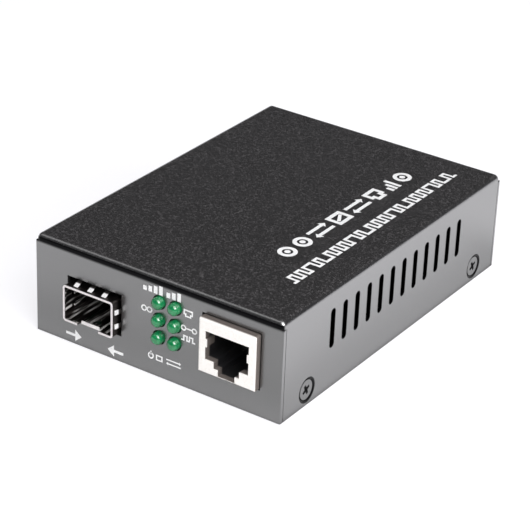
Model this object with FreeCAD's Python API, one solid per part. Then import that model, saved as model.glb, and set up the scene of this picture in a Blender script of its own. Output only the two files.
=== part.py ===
"""Compact fibre media converter: a folded steel case around one board that joins a
pluggable optical module port to a copper network jack.

Frame: millimetres, +Z up, -Y is the front with both ports, +X is the right-hand side seen
from the front. The origin is the centre of the case's underside, on the surface it stands on.
"""
import FreeCAD, Part
import math
import os

V = FreeCAD.Vector

# ---------------------------------------------------------------- driving dimensions
# Case
CASE_W = 70.0            # across the front
CASE_D = 97.0            # front face to rear face
CASE_H = 26.0            # standing surface to top
SHEET = 1.0              # steel sheet of lid and base
BEND_R = 1.5             # outside radius of the lid's top bends and ball corners
CORNER_R = 0.4           # softened upright corners of the lid
CORNER_RELIEF = 0.35     # plain height between the ball corner and the upright corner
SEAM_W = 0.15            # slit between a side wall and the end wall that laps it
LID_LIFT = 0.3           # lid's lower edge above the standing surface
LID_GAP = 0.2            # gap all round between the lid and the base
BASE_BEND_R = 1.3        # outside radius of the base's long bends
FLANGE_H = 7.2           # top of the base's side flanges
FLANGE_INSET = 5.0       # flange ends, back from the ends of the base

# Side vents: one row of upright round-ended slots in each side wall
VENT_COUNT = 12
VENT_PITCH = 5.16
VENT_W = 1.7
VENT_LENGTH = 9.9
VENT_Z = 16.05           # middle of the slots

# Side screws: countersunk, two on each side, into the base's flanges
SIDE_SCREW_INSET = 10.6  # in from the front and rear faces
SIDE_SCREW_Z = 4.25
SINK_R = 3.0             # countersink at the lid's outer face
SINK_EDGE = 0.1          # countersink runs on this far behind the lid's sheet
SIDE_HEAD_R = 2.5
SIDE_RECESS_R = 1.5      # reach of the cross recess
SIDE_RECESS_DEPTH = 0.75
THREAD_R = 1.5           # M3
SIDE_SCREW_LENGTH = 3.0  # head and thread together
RECESS_ARM = 0.42        # width of a recess arm, as a share of its reach

# Fits
FIT = 0.03               # between a thread, pin or insert and what holds it
SEAT = 0.02              # between a seated cone or spring and its seat
PIN_CLEARANCE = 0.12     # round each pin in its board hole

# Board and its fixing
BOARD_T = 1.6
BOARD_TOP = 7.35         # height of the component side
BOARD_FRONT_GAP = 0.5    # to the lid's front wall
BOARD_REAR_GAP = 3.0     # to the lid's rear wall
BOARD_SIDE_GAP = 1.8     # to the base's flanges
BOARD_SCREW_EDGE = 3.2   # screw centres in from the board's side edges
BOARD_SCREW_FRONT = 19.0 # front pair, back from the board's front edge
BOARD_SCREW_REAR = 6.5   # rear pair, in from the board's rear edge
STANDOFF_AF = 5.0        # across the flats of the hexagon
PAN_HEAD_R = 2.75
PAN_TOP_R = 2.2
PAN_HEAD_H = 1.8
PAN_RECESS_R = 1.5
PAN_RECESS_DEPTH = 1.4
BOARD_SCREW_LENGTH = 5.0

# Optical module cage
CAGE_W = 14.6
CAGE_H = 9.45
CAGE_LENGTH = 48.8
CAGE_SHEET = 0.3
CAGE_CORNER_R = 0.8
CAGE_PROUD = 2.6         # in front of the case
CAGE_EDGE = 10.2         # from the case's left face to the cage
RIM_WALL = 0.5           # thickened lip round the mouth
RIM_DEPTH = 0.6
NOTCH_W = 6.3            # gap in the lower lip for the latch tongue
TONGUE_W = 5.2
TONGUE_BACK = 1.0        # tongue tip, behind the rim
TONGUE_LENGTH = 9.0
TONGUE_LIP = 0.75        # turned-up tip
CATCH_W = 3.0            # triangular catch hole in the tongue
CATCH_L = 2.1
CATCH_BACK = 2.2         # catch hole, behind the tongue's tip
SIDE_SPRING_LENGTH = 5.0
SIDE_SPRING_W = 1.5      # window in the side wall
SIDE_SPRING_BLADE = 0.9  # blade cut from it
SIDE_SPRING_BACK = 3.0   # window's front end, behind the cage's mouth
SIDE_SPRING_TIP = 0.5    # blade's tip, behind the window's front end
SIDE_SPRING_IN = 0.45    # how far the side springs lean into the cage
SIDE_SPRING_Z = (2.7, 6.1)   # middles above the board
CAGE_PIN_W = 0.9
CAGE_PINS = 4            # on each side
CAGE_HOLE_R = 0.9        # six-sided airing holes in the roof
CAGE_HOLES = 3           # in each of two rows
CAGE_HOLE_PITCH = 9.0
CAGE_HOLE_ROW = 3.6      # either side of the middle
CAGE_HOLE_BACK = 16.0    # first holes, behind the cage's mouth
PORT_SIDE_GAP = 0.65     # case opening round the cage
PORT_TOP_GAP = 1.15
PORT_BOTTOM_GAP = 0.3

# Spring collar round the cage
COLLAR_T = 0.2
COLLAR_BAND = 2.0        # depth of its closed band
COLLAR_BEHIND = 1.5      # band's front edge, behind the case's front wall
FINGER_W = 1.2
FINGERS_TOP = 3
FINGERS_SIDE = 2
FINGER_PITCH_TOP = 4.05
FINGER_PITCH_SIDE = 3.65
FINGER_STOP = 0.7        # finger tips, behind the rim
FINGER_BOW_TOP = 0.7
FINGER_BOW_SIDE = 0.34
FINGER_CREST = (0.35, 0.6)   # where the crest starts and ends, as shares of the length

# Host connector at the back of the cage
HOST_W = 11.2
HOST_D = 9.2
HOST_H = 5.6
HOST_BACK_GAP = 3.0      # to the cage's rear wall
HOST_SLOT_W = 9.6
HOST_SLOT_H = 1.4
HOST_SLOT_Z = 2.4        # slot's floor above the board
HOST_SLOT_DEPTH = 6.5
HOST_EDGE_R = 0.4
HOST_PITCH = 0.8
HOST_PER_ROW = 10
CONTACT_T = 0.2
CONTACT_W = 0.4
CONTACT_PROUD = 0.1      # blades stand out of the slot's walls
UPPER_REACH = (1.2, 0.5, 1.1)    # tip behind the mouth, drop behind the body, foot
LOWER_REACH = (5.0, 0.5, 0.9)    # tip behind the mouth, drop in front of the body, foot
HOST_FLOOR_FRONT = 2.0   # cage floor is open from here in front of the connector
HOST_FLOOR_REAR = 1.0    # to here in front of the cage's rear

# Copper network jack: black housing, ivory bezel pushed over its nose, contact carrier behind
JACK_W = 15.6
JACK_H = 13.9
JACK_LENGTH = 18.0
JACK_PROUD = 1.8         # in front of the case
JACK_EDGE = 5.95         # from the case's right face to the jack
JACK_GAP = 0.3           # case opening round the jack
JACK_WALL = 1.5          # side and top walls round the contact carrier
BEZEL_R = 0.5            # rounding of the face's edges
BEZEL_DEPTH = 0.8        # bezel's skirt, along the jack
BEZEL_FACE_T = 0.35
BEZEL_SKIRT_T = 0.5
BEZEL_HOOK_H = 2.05      # hooks that enter the plug cavity's side walls
BEZEL_HOOK_Z = 3.15      # their lower edge above the cavity's floor
BEZEL_HOOK_IN = 0.45     # how far they stand into the cavity
BEZEL_HOOK_OUT = 0.6     # how far they lie in the housing's wall
BEZEL_HOOK_LENGTH = 3.2
PLUG_W = 11.9            # plug cavity
PLUG_H = 7.3
PLUG_FLOOR = 3.55        # cavity's floor above the board
PLUG_DEPTH = 11.5
LATCH_W = 7.1            # upper, wide step of the latch slot
LATCH_H = 1.7
LATCH_SLOT_W = 4.75      # lower, narrow step
LATCH_LIP = 0.22         # thin floor under it
WIRE_COUNT = 8
WIRE_PITCH = 1.02
WIRE_T = 0.4
WIRE_BACK = 4.8          # front bend of the contact wires, behind the jack's face
WIRE_NOSE = (0.7, 1.3)   # their rounded front: depth and fall
WIRE_RUN = 5.0           # depth of their sloping stretch
WIRE_DROP = 4.4          # its fall
WIRE_ROW_PITCH = 2.54    # staggered rows of the pins
WIRE_FIRST_ROW = 1.9     # behind the plug cavity
WIRE_ROOF_GAP = 0.1      # comb's floor under the wires
COMB_FRONT = 1.0         # comb's front, before the wires' front bend
CARRIER_FOOT = 0.1       # contact carrier above the board
CARRIER_BACK = 0.2       # in from the jack's rear
PEG_R = 1.6              # snap-in locating pegs
PEG_SPACING = 11.4
PEG_BACK = 9.0           # behind the jack's face
PIN_REACH = 2.6          # pins and pegs, below the component side

# Indicator lamps: two columns, three rows
LED_X = 3.45             # middle of the two columns
LED_PITCH = 4.56
LED_ROWS = 3
LED_COLUMNS = 2
LED_LOW_Z = 3.35         # lowest row above the board
LED_R = 1.55
LED_HOLE_R = 1.82        # in the case's front wall
LED_PROUD = 2.1          # in front of the case
LED_LENGTH = 5.3
LED_FLANGE_R = 1.9
LED_FLANGE_T = 1.0
LED_DOME_STEPS = 3
LEAD_T = 0.45
LEAD_SPACING = 2.0
LEAD_STEP = 1.5          # each row's leads drop this much behind the row below
HOLDER_GAP = 0.2         # lamp holder to the front wall
HOLDER_WALL = 0.4        # outside the lamps' flanges
HOLDER_EDGE = 0.5        # its broken top edges

# Power inlet in the rear wall
DC_W = 9.0
DC_LENGTH = 14.2
DC_AXIS_Z = 6.5          # above the board
DC_TOP = 4.5             # top of the front block above the axis
DC_BARREL_R = 4.0        # round back
DC_FACE_T = 3.2          # square front block
DC_COLLAR_R = 3.95
DC_HOLE_GAP = 0.15       # case opening round the collar
DC_BORE_R = 3.15
DC_BORE_DEPTH = 9.6
DC_PIN_R = 1.0
DC_PIN_TIP = 1.2         # pin's tip, inside the mouth
DC_PIN_EDGE = 0.4
DC_EDGE = 13.0           # from the case's left face to the inlet
DC_WALL_GAP = 0.1        # front block to the lid's rear wall
DC_TAB_W = 2.4
DC_TAB_T = 0.5
DC_REAR_TAB = 0.3        # rear tab, in from the back of the housing
DC_MID_TAB = 6.7         # sleeve spring's tab, from the back
DC_SIDE_TAB = (0.6, 3.7) # switch blade's tab: in from the side, from the back
DC_SIDE_TAB_H = 3.0
DC_SPRING_LENGTH = 3.0
DC_SPRING_RISE = 0.35

# Board components
CHIP_W = 12.0            # converter chip, square
CHIP_H = 1.4
CHIP_X, CHIP_Y = 8.0, -4.0
CHIP_PINS = 8            # on each side
CHIP_PIN_PITCH = 1.2
CHIP_PIN_W = 0.35
CHIP_LIFT = 0.1          # packages stand this far above the board
CHIP_EDGE = 0.25         # broken top edges
MEMORY_W, MEMORY_D, MEMORY_H = 4.9, 3.9, 1.5
MEMORY_EDGE, MEMORY_Y = 9.0, -4.0    # in from the board's right edge
MEMORY_PINS = 4
REGULATOR_W, REGULATOR_D, REGULATOR_H = 6.5, 3.5, 1.6
REGULATOR_X, REGULATOR_Y = 2.0, 20.0
REGULATOR_PINS = 3
REGULATOR_PITCH = 2.3
REGULATOR_PIN_W = 0.7
PIN_PITCH = 1.27         # memory chip and transformer
PIN_T = 0.15
PIN_W = 0.4
PIN_SHOULDER = 0.4       # a formed pin's bends and end, out from the package
PIN_HEEL = 0.55
PIN_FOOT = 1.0
PIN_LIFT = 0.6           # height at which it leaves the package
TRANSFORMER_W, TRANSFORMER_D, TRANSFORMER_H = 15.0, 7.0, 5.6
TRANSFORMER_GAP = 8.0    # behind the network jack
TRANSFORMER_PINS = 8     # on each side
CRYSTAL_W, CRYSTAL_D, CRYSTAL_H = 5.0, 3.2, 1.0
CRYSTAL_X, CRYSTAL_Y = -4.0, -6.0
CRYSTAL_EDGE = 0.3
INDUCTOR_W = 7.3
INDUCTOR_H = 3.6
INDUCTOR_X, INDUCTOR_Y = -9.0, 18.0
INDUCTOR_CORNER = 1.2
INDUCTOR_CORE_R = 2.7
INDUCTOR_GROOVE = 0.4
DIODE_W, DIODE_D, DIODE_H = 2.6, 4.4, 2.2
DIODE_X, DIODE_Y = -17.5, 20.0
CAP_R = 4.0              # supply capacitors
CAP_H = 11.5
CAP_NECK = 1.6           # crimped groove above the board
CAP_GROOVE = 0.35
CAP_EDGE = 0.5
CAP_X, CAP_REAR = -2.0, 11.5     # first one; in from the board's rear edge
CAP_PITCH = 10.0
CAP_COUNT = 2
CAP_LEAD_SPACING = 3.5
CHIP_PART_W, CHIP_PART_D = 1.25, 2.0   # small chip capacitors and resistors
CAPACITOR_T, RESISTOR_T = 0.9, 0.5
SMALL_PITCH = 2.6
SMALL_GAP = 4.0          # their rows, outside the chip they serve
CAPACITOR_ROWS = (5, 3)  # behind and in front of the converter chip
MEMORY_RESISTORS = 3
LED_RESISTORS = 6
LED_RESISTOR_BACK = 15.5 # behind the board's front edge


# ---------------------------------------------------------------- sizes worked out from them
HALF_W = CASE_W / 2
HALF_D = CASE_D / 2
SIDE_SCREW_Y = HALF_D - SIDE_SCREW_INSET   # either side of the middle
FRONT = -HALF_D                       # outer face of the front wall
REAR = HALF_D                         # outer face of the rear wall
BASE_HALF_W = HALF_W - SHEET - LID_GAP
BASE_HALF_D = HALF_D - SHEET - LID_GAP
BOARD_HALF_W = BASE_HALF_W - SHEET - BOARD_SIDE_GAP
BOARD_FRONT = FRONT + SHEET + BOARD_FRONT_GAP
BOARD_REAR = REAR - SHEET - BOARD_REAR_GAP
BOARD_BOTTOM = BOARD_TOP - BOARD_T
PIN_LOW = BOARD_TOP - PIN_REACH
BOARD_SCREWS = [(side * (BOARD_HALF_W - BOARD_SCREW_EDGE), y)
                for y in (BOARD_FRONT + BOARD_SCREW_FRONT, BOARD_REAR - BOARD_SCREW_REAR)
                for side in (-1, 1)]

CAGE_X = -HALF_W + CAGE_EDGE + CAGE_W / 2
CAGE_FRONT = FRONT - CAGE_PROUD
CAGE_REAR = CAGE_FRONT + CAGE_LENGTH
CAGE_TOP = BOARD_TOP + CAGE_H
HOST_REAR = CAGE_REAR - CAGE_SHEET - HOST_BACK_GAP
HOST_FRONT = HOST_REAR - HOST_D

JACK_X = HALF_W - JACK_EDGE - JACK_W / 2
JACK_FRONT = FRONT - JACK_PROUD
JACK_REAR = JACK_FRONT + JACK_LENGTH
JACK_TOP = BOARD_TOP + JACK_H
PLUG_BOTTOM = BOARD_TOP + PLUG_FLOOR
PLUG_TOP = PLUG_BOTTOM + PLUG_H
PLUG_REAR = JACK_FRONT + PLUG_DEPTH
HOOK_BOTTOM = PLUG_BOTTOM + BEZEL_HOOK_Z
TRANSFORMER_Y = JACK_REAR + TRANSFORMER_GAP + TRANSFORMER_D / 2
MEMORY_X = BOARD_HALF_W - MEMORY_EDGE
CAP_PLACES = [(CAP_X + CAP_PITCH * i, BOARD_REAR - CAP_REAR) for i in range(CAP_COUNT)]

LED_TIP = FRONT - LED_PROUD
LED_REAR = LED_TIP + LED_LENGTH
LED_PLACES = [(LED_X + LED_PITCH * (column - (LED_COLUMNS - 1) / 2),
               BOARD_TOP + LED_LOW_Z + LED_PITCH * (LED_ROWS - 1 - row))
              for row in range(LED_ROWS) for column in range(LED_COLUMNS)]
HOLDER_FRONT = FRONT + SHEET + HOLDER_GAP

DC_X = -HALF_W + DC_EDGE + DC_W / 2
DC_Z = BOARD_TOP + DC_AXIS_Z
DC_FACE = REAR - SHEET - DC_WALL_GAP
DC_MOUTH = REAR - DC_WALL_GAP


# ---------------------------------------------------------------- shared shapes
def box(x0, x1, y0, y1, z0, z1):
    """Block between two corners."""
    return Part.makeBox(x1 - x0, y1 - y0, z1 - z0, V(x0, y0, z0))


def rod(radius, start, along):
    """Cylinder from start, as long as the vector along."""
    return Part.makeCylinder(radius, along.Length, start, along)


def fused(shapes):
    """One solid out of shapes that touch."""
    return shapes[0].multiFuse(shapes[1:]).removeSplitter()


def group(shapes):
    """Separate solids that share a node."""
    return Part.makeCompound(shapes)


def rounded(shape, radius, chosen):
    """Fillet the straight edges for which chosen(direction, middle) holds."""
    edges = []
    for edge in shape.Edges:
        run = edge.Vertexes[-1].Point - edge.Vertexes[0].Point
        if run.Length > 0 and chosen(run.normalize(), edge.CenterOfMass):
            edges.append(edge)
    return shape.makeFillet(radius, edges)


def spread(count, pitch):
    """Evenly spaced places, centred on zero."""
    return [(i - (count - 1) / 2) * pitch for i in range(count)]


def outline(points, along):
    """Prism of a polygon, pushed out along a vector."""
    return Part.Face(Part.makePolygon(points + points[:1])).extrude(along)


def slot(width, length, x0, x1, y, z):
    """Upright round-ended slot cutter, running along X."""
    radius = width / 2
    reach = length / 2 - radius
    low = [V(x0, y + radius, z - reach), V(x0, y, z - reach - radius), V(x0, y - radius, z - reach)]
    high = [V(x0, y - radius, z + reach), V(x0, y, z + reach + radius), V(x0, y + radius, z + reach)]
    wire = Part.Wire([Part.Arc(*low).toShape(), Part.makeLine(low[2], high[0]),
                      Part.Arc(*high).toShape(), Part.makeLine(high[2], low[0])])
    return Part.Face(wire).extrude(V(x1 - x0, 0, 0))


def folded_strip(path, thickness, x_mid, width):
    """Strip of even thickness with sharp folds: path gives its middle line as (y, z) corners."""
    points = [V(x_mid - width / 2, y, z) for y, z in path]
    across = [V(1, 0, 0).cross((b - a).normalize()) for a, b in zip(points, points[1:])]
    mitres = [before + after for before, after in zip(across, across[1:])]
    mitres = [mitre * (1 / mitre.dot(before)) for mitre, before in zip(mitres, across)]
    offsets = [across[0]] + mitres + [across[-1]]
    upper = [point + offset * (thickness / 2) for point, offset in zip(points, offsets)]
    lower = [point - offset * (thickness / 2) for point, offset in zip(points, offsets)]
    return outline(upper + lower[::-1], V(width, 0, 0))


def cross_recess(reach, depth):
    """Cutter for a cross recess, from z = 0 downwards."""
    arm = reach * RECESS_ARM / 2
    return fused([box(-reach, reach, -arm, arm, -depth, 1), box(-arm, arm, -reach, reach, -depth, 1)])


# ---------------------------------------------------------------- case
def lid():
    """Top and four walls folded from one sheet, its corners closed and ground round."""
    top = rounded(box(-HALF_W, HALF_W, FRONT, REAR, LID_LIFT, CASE_H), BEND_R,
                  lambda run, middle: abs(run.z) > 0.9 or middle.z > CASE_H - 0.1)
    upright_top = CASE_H - BEND_R - CORNER_RELIEF
    walls = rounded(box(-HALF_W, HALF_W, FRONT, REAR, LID_LIFT, upright_top), CORNER_R,
                    lambda run, middle: abs(run.z) > 0.9)
    room_top = CASE_H - SHEET
    room = rounded(box(-HALF_W + SHEET, HALF_W - SHEET, FRONT + SHEET, REAR - SHEET, -1, room_top),
                   BEND_R - SHEET, lambda run, middle: abs(run.z) < 0.1 and middle.z > room_top - 0.1)
    shell = fused([top, walls]).cut(room)

    cutters = [slot(VENT_W, VENT_LENGTH, -HALF_W - 1, HALF_W + 1, y, VENT_Z)
               for y in spread(VENT_COUNT, VENT_PITCH)]
    sink_depth = SHEET + SINK_EDGE
    for side in (-1, 1):
        for end in (-1, 1):
            seam = end * (HALF_D - SHEET - SEAM_W / 2)
            cutters.append(box(*sorted((side * (HALF_W - SHEET), side * (HALF_W + 1))),
                               seam - SEAM_W / 2, seam + SEAM_W / 2, -1, upright_top))
            cutters.append(Part.makeCone(SINK_R, SINK_R - sink_depth, sink_depth,
                                         V(side * HALF_W, end * SIDE_SCREW_Y, SIDE_SCREW_Z),
                                         V(-side, 0, 0)))
    wall = (FRONT - 1, FRONT + SHEET + 1)
    cage_reach = CAGE_W / 2 + PORT_SIDE_GAP
    cutters.append(box(CAGE_X - cage_reach, CAGE_X + cage_reach, *wall,
                       BOARD_TOP - PORT_BOTTOM_GAP, CAGE_TOP + PORT_TOP_GAP))
    jack_reach = JACK_W / 2 + JACK_GAP
    cutters.append(box(JACK_X - jack_reach, JACK_X + jack_reach, *wall,
                       BOARD_TOP - JACK_GAP, JACK_TOP + JACK_GAP))
    cutters += [rod(LED_HOLE_R, V(x, FRONT - 1, z), V(0, SHEET + 2, 0)) for x, z in LED_PLACES]
    cutters.append(rod(DC_COLLAR_R + DC_HOLE_GAP, V(DC_X, REAR - SHEET - 1, DC_Z), V(0, SHEET + 2, 0)))
    return shell.cut(cutters)


def base_plate():
    """Bottom plate with two upturned side flanges that take the side screws."""
    outer = rounded(box(-BASE_HALF_W, BASE_HALF_W, -BASE_HALF_D, BASE_HALF_D, 0, FLANGE_H), BASE_BEND_R,
                    lambda run, middle: abs(run.y) > 0.9 and middle.z < 0.1)
    room = rounded(box(-BASE_HALF_W + SHEET, BASE_HALF_W - SHEET, -BASE_HALF_D - 1, BASE_HALF_D + 1,
                       SHEET, FLANGE_H + 1), BASE_BEND_R - SHEET,
                   lambda run, middle: abs(run.y) > 0.9 and middle.z < SHEET + 0.1)
    cutters = [room]
    sink_r = SINK_R - SHEET
    for end in (-1, 1):
        ends = sorted((end * (BASE_HALF_D - FLANGE_INSET), end * (BASE_HALF_D + 1)))
        cutters.append(box(-CASE_W, CASE_W, *ends, BASE_BEND_R, FLANGE_H + 1))
        for side in (-1, 1):
            place = V(side * (HALF_W - SHEET), end * SIDE_SCREW_Y, SIDE_SCREW_Z)
            cutters.append(Part.makeCone(sink_r, THREAD_R, sink_r - THREAD_R, place, V(-side, 0, 0)))
            cutters.append(rod(THREAD_R + FIT, place, V(-side * (LID_GAP + SHEET + 1), 0, 0)))
    return outer.cut(cutters)


def side_screws():
    """Countersunk screws, seated part way down their countersinks."""
    sunk = SINK_R - SIDE_HEAD_R - SEAT
    head_h = SIDE_HEAD_R - THREAD_R
    head = Part.makeCone(THREAD_R, SIDE_HEAD_R, head_h, V(0, 0, -head_h))
    thread = rod(THREAD_R, V(0, 0, -SIDE_SCREW_LENGTH), V(0, 0, SIDE_SCREW_LENGTH - head_h))
    screw = fused([head, thread]).cut(cross_recess(SIDE_RECESS_R, SIDE_RECESS_DEPTH))
    screws = []
    for side in (-1, 1):
        for end in (-1, 1):
            copy = screw.copy()
            copy.rotate(V(), V(0, 1, 0), side * 90)
            copy.translate(V(side * (HALF_W - sunk), end * SIDE_SCREW_Y, SIDE_SCREW_Z))
            screws.append(copy)
    return group(screws)


# ---------------------------------------------------------------- board and its fixing
def lead_spots():
    """Where the lamps' leads pass the board: (row, x, y) for each of them."""
    return [(index // LED_COLUMNS, x + side * LEAD_SPACING / 2,
             LED_REAR + LEAD_STEP * (LED_ROWS - index // LED_COLUMNS))
            for index, (x, z) in enumerate(LED_PLACES) for side in (-1, 1)]


def wire_spots():
    """Where the network jack's contacts pass the board: (x, y), in two staggered rows."""
    return [(JACK_X + x, PLUG_REAR + WIRE_FIRST_ROW + WIRE_ROW_PITCH * (i % 2))
            for i, x in enumerate(spread(WIRE_COUNT, WIRE_PITCH))]


def peg_spots():
    """Where the network jack's pegs snap into the board."""
    return [(JACK_X + side * PEG_SPACING / 2, JACK_FRONT + PEG_BACK) for side in (-1, 1)]


def cage_pin_spots():
    """Where the cage's press-in pins enter the board, evenly along both sides: (x, y)."""
    pitch = (CAGE_REAR - BOARD_FRONT) / CAGE_PINS
    middle = (CAGE_REAR + BOARD_FRONT) / 2
    return [(CAGE_X + side * (CAGE_W - CAGE_SHEET) / 2, middle + y)
            for side in (-1, 1) for y in spread(CAGE_PINS, pitch)]


def dc_tab_spots():
    """Where the power inlet's three tabs pass the board: (x, y, size along X, size along Y)."""
    back = DC_FACE - DC_LENGTH
    side_in, side_back = DC_SIDE_TAB
    return [(DC_X, back + DC_REAR_TAB + DC_TAB_T / 2, DC_TAB_W, DC_TAB_T),
            (DC_X, back + DC_MID_TAB, DC_TAB_W, DC_TAB_T),
            (DC_X - DC_W / 2 + side_in, back + side_back, DC_TAB_T, DC_TAB_W)]


def capacitor_lead_spots():
    """Where the supply capacitors' leads pass the board: (x, y)."""
    return [(x, y + side * CAP_LEAD_SPACING / 2) for x, y in CAP_PLACES for side in (-1, 1)]


def circuit_board():
    """Board with round screw and peg holes, and milled holes that follow the form of each pin."""
    holes = [(x, y, THREAD_R + PIN_CLEARANCE) for x, y in BOARD_SCREWS]
    holes += [(x, y, PEG_R + FIT) for x, y in peg_spots()]
    cutters = [rod(radius, V(x, y, BOARD_BOTTOM - 1), V(0, 0, BOARD_T + 2)) for x, y, radius in holes]

    pins = [(x, y, LEAD_T, LEAD_T) for row, x, y in lead_spots()]
    pins += [(x, y, LEAD_T, LEAD_T) for x, y in capacitor_lead_spots()]
    pins += [(x, y, WIRE_T, WIRE_T) for x, y in wire_spots()]
    pins += [(x, y, CAGE_SHEET, CAGE_PIN_W) for x, y in cage_pin_spots()]
    pins += dc_tab_spots()
    for x, y, width, depth in pins:
        half_x, half_y = width / 2 + PIN_CLEARANCE, depth / 2 + PIN_CLEARANCE
        cutters.append(box(x - half_x, x + half_x, y - half_y, y + half_y, BOARD_BOTTOM - 1, BOARD_TOP + 1))
    board = box(-BOARD_HALF_W, BOARD_HALF_W, BOARD_FRONT, BOARD_REAR, BOARD_BOTTOM, BOARD_TOP)
    return board.cut(cutters)


def hexagon(across_flats, z, height):
    """Six-sided prism on the Z axis."""
    radius = across_flats / math.sqrt(3)
    turns = [i * math.pi / 3 for i in range(6)]
    corners = [V(radius * math.cos(turn), radius * math.sin(turn), z) for turn in turns]
    return outline(corners, V(0, 0, height))


def board_standoffs():
    """Hexagonal threaded pillars that stand on the base plate."""
    pillar = hexagon(STANDOFF_AF, SHEET, BOARD_BOTTOM - SHEET)
    pillar = pillar.cut(rod(THREAD_R + FIT, V(0, 0, 0), V(0, 0, BOARD_TOP)))
    return group([pillar.translated(V(x, y, 0)) for x, y in BOARD_SCREWS])


def board_screws():
    """Pan-head screws that clamp the board on its pillars."""
    head = Part.makeCone(PAN_HEAD_R, PAN_TOP_R, PAN_HEAD_H)
    shank = rod(THREAD_R, V(0, 0, -BOARD_SCREW_LENGTH), V(0, 0, BOARD_SCREW_LENGTH))
    recess = cross_recess(PAN_RECESS_R, PAN_RECESS_DEPTH).translated(V(0, 0, PAN_HEAD_H))
    screw = fused([head, shank]).cut(recess)
    return group([screw.translated(V(x, y, BOARD_TOP)) for x, y in BOARD_SCREWS])


# ---------------------------------------------------------------- optical module port
def tube(wall, y0, y1):
    """Stretch of the cage's square tube along Y, with rounded corners."""
    def block(inset, radius):
        blank = box(CAGE_X - CAGE_W / 2 + inset, CAGE_X + CAGE_W / 2 - inset, y0, y1,
                    BOARD_TOP + inset, CAGE_TOP - inset)
        return rounded(blank, radius, lambda run, middle: abs(run.y) > 0.9)
    return block(0, CAGE_CORNER_R).cut(block(wall, CAGE_CORNER_R - wall))


def cage_tongue(tip, root):
    """Sprung strip in the cage's floor with a turned-up tip and the hole that catches a module."""
    line_z = BOARD_TOP + CAGE_SHEET / 2
    line_y = tip + CAGE_SHEET / 2
    strip = folded_strip([(root + CAGE_SHEET, line_z), (line_y, line_z), (line_y, line_z + TONGUE_LIP)],
                         CAGE_SHEET, CAGE_X, TONGUE_W)
    strip = rounded(strip, CAGE_SHEET, lambda run, middle: abs(run.x) > 0.9 and
                    middle.y < tip + 0.01 and middle.z < BOARD_TOP + 0.01)
    wide = tip + CATCH_BACK
    catch = [V(CAGE_X - CATCH_W / 2, wide, BOARD_TOP - 1), V(CAGE_X + CATCH_W / 2, wide, BOARD_TOP - 1),
             V(CAGE_X, wide + CATCH_L, BOARD_TOP - 1)]
    return strip.cut(outline(catch, V(0, 0, 2)))


def sfp_cage():
    """Folded sheet cage: a square tube with a hemmed rim, a sprung latch tongue and press-in pins."""
    left, right = CAGE_X - CAGE_W / 2, CAGE_X + CAGE_W / 2
    body = tube(CAGE_SHEET, CAGE_FRONT, CAGE_REAR)
    rim = tube(RIM_WALL, CAGE_FRONT, CAGE_FRONT + RIM_DEPTH)
    inset = CAGE_SHEET / 2
    back = box(left + inset, right - inset, CAGE_REAR - CAGE_SHEET, CAGE_REAR,
               BOARD_TOP + inset, CAGE_TOP - inset)
    half, root, taper = CAGE_PIN_W / 2, BOARD_TOP + CAGE_CORNER_R, PIN_LOW + CAGE_PIN_W
    point = [(-half, root), (half, root), (half, taper), (0, PIN_LOW), (-half, taper)]
    pins = [outline([V(x - CAGE_SHEET / 2, y + dy, z) for dy, z in point], V(CAGE_SHEET, 0, 0))
            for x, y in cage_pin_spots()]
    cage = fused([body, rim, back] + pins)

    tongue_tip = CAGE_FRONT + TONGUE_BACK
    tongue_root = tongue_tip + TONGUE_LENGTH
    floor = (BOARD_TOP - CAGE_SHEET, BOARD_TOP + 2 * RIM_WALL)
    cutters = [box(CAGE_X - NOTCH_W / 2, CAGE_X + NOTCH_W / 2, CAGE_FRONT - 1, tongue_root, *floor),
               box(CAGE_X - HOST_W / 2 - FIT, CAGE_X + HOST_W / 2 + FIT,
                   HOST_FRONT - HOST_FLOOR_FRONT, CAGE_REAR - HOST_FLOOR_REAR, *floor)]
    windows = [(side, BOARD_TOP + z) for side in (-1, 1) for z in SIDE_SPRING_Z]
    spring_front = CAGE_FRONT + SIDE_SPRING_BACK
    spring_rear = spring_front + SIDE_SPRING_LENGTH
    for side, z in windows:
        face = CAGE_X + side * CAGE_W / 2
        cutters.append(box(*sorted((face - side * 2 * CAGE_SHEET, face + side)), spring_front, spring_rear,
                           z - SIDE_SPRING_W / 2, z + SIDE_SPRING_W / 2))
    airing = hexagon(2 * CAGE_HOLE_R, CAGE_TOP - 2 * CAGE_SHEET, 1)
    cutters += [airing.translated(V(CAGE_X + row * CAGE_HOLE_ROW,
                                    CAGE_FRONT + CAGE_HOLE_BACK + i * CAGE_HOLE_PITCH, 0))
                for row in (-1, 1) for i in range(CAGE_HOLES)]
    cage = cage.cut(cutters)

    springs = []
    for side, z in windows:
        face = CAGE_X + side * CAGE_W / 2
        inner, lean = face - side * CAGE_SHEET, side * SIDE_SPRING_IN
        tip = spring_front + SIDE_SPRING_TIP
        blade = [(face, spring_rear), (inner, spring_rear), (inner - lean, tip), (face - lean, tip)]
        springs.append(outline([V(x, y, z - SIDE_SPRING_BLADE / 2) for x, y in blade],
                               V(0, 0, SIDE_SPRING_BLADE)))
    return fused([cage, cage_tongue(tongue_tip, tongue_root)] + springs)


def spring_finger(bow, length):
    """Bowed finger along +Y from the origin, standing on the XY plane, centred on X."""
    line = COLLAR_T / 2
    crest = [(length * share, line + bow) for share in FINGER_CREST]
    return folded_strip([(0, line)] + crest + [(length, line)], COLLAR_T, 0, FINGER_W)


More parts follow.
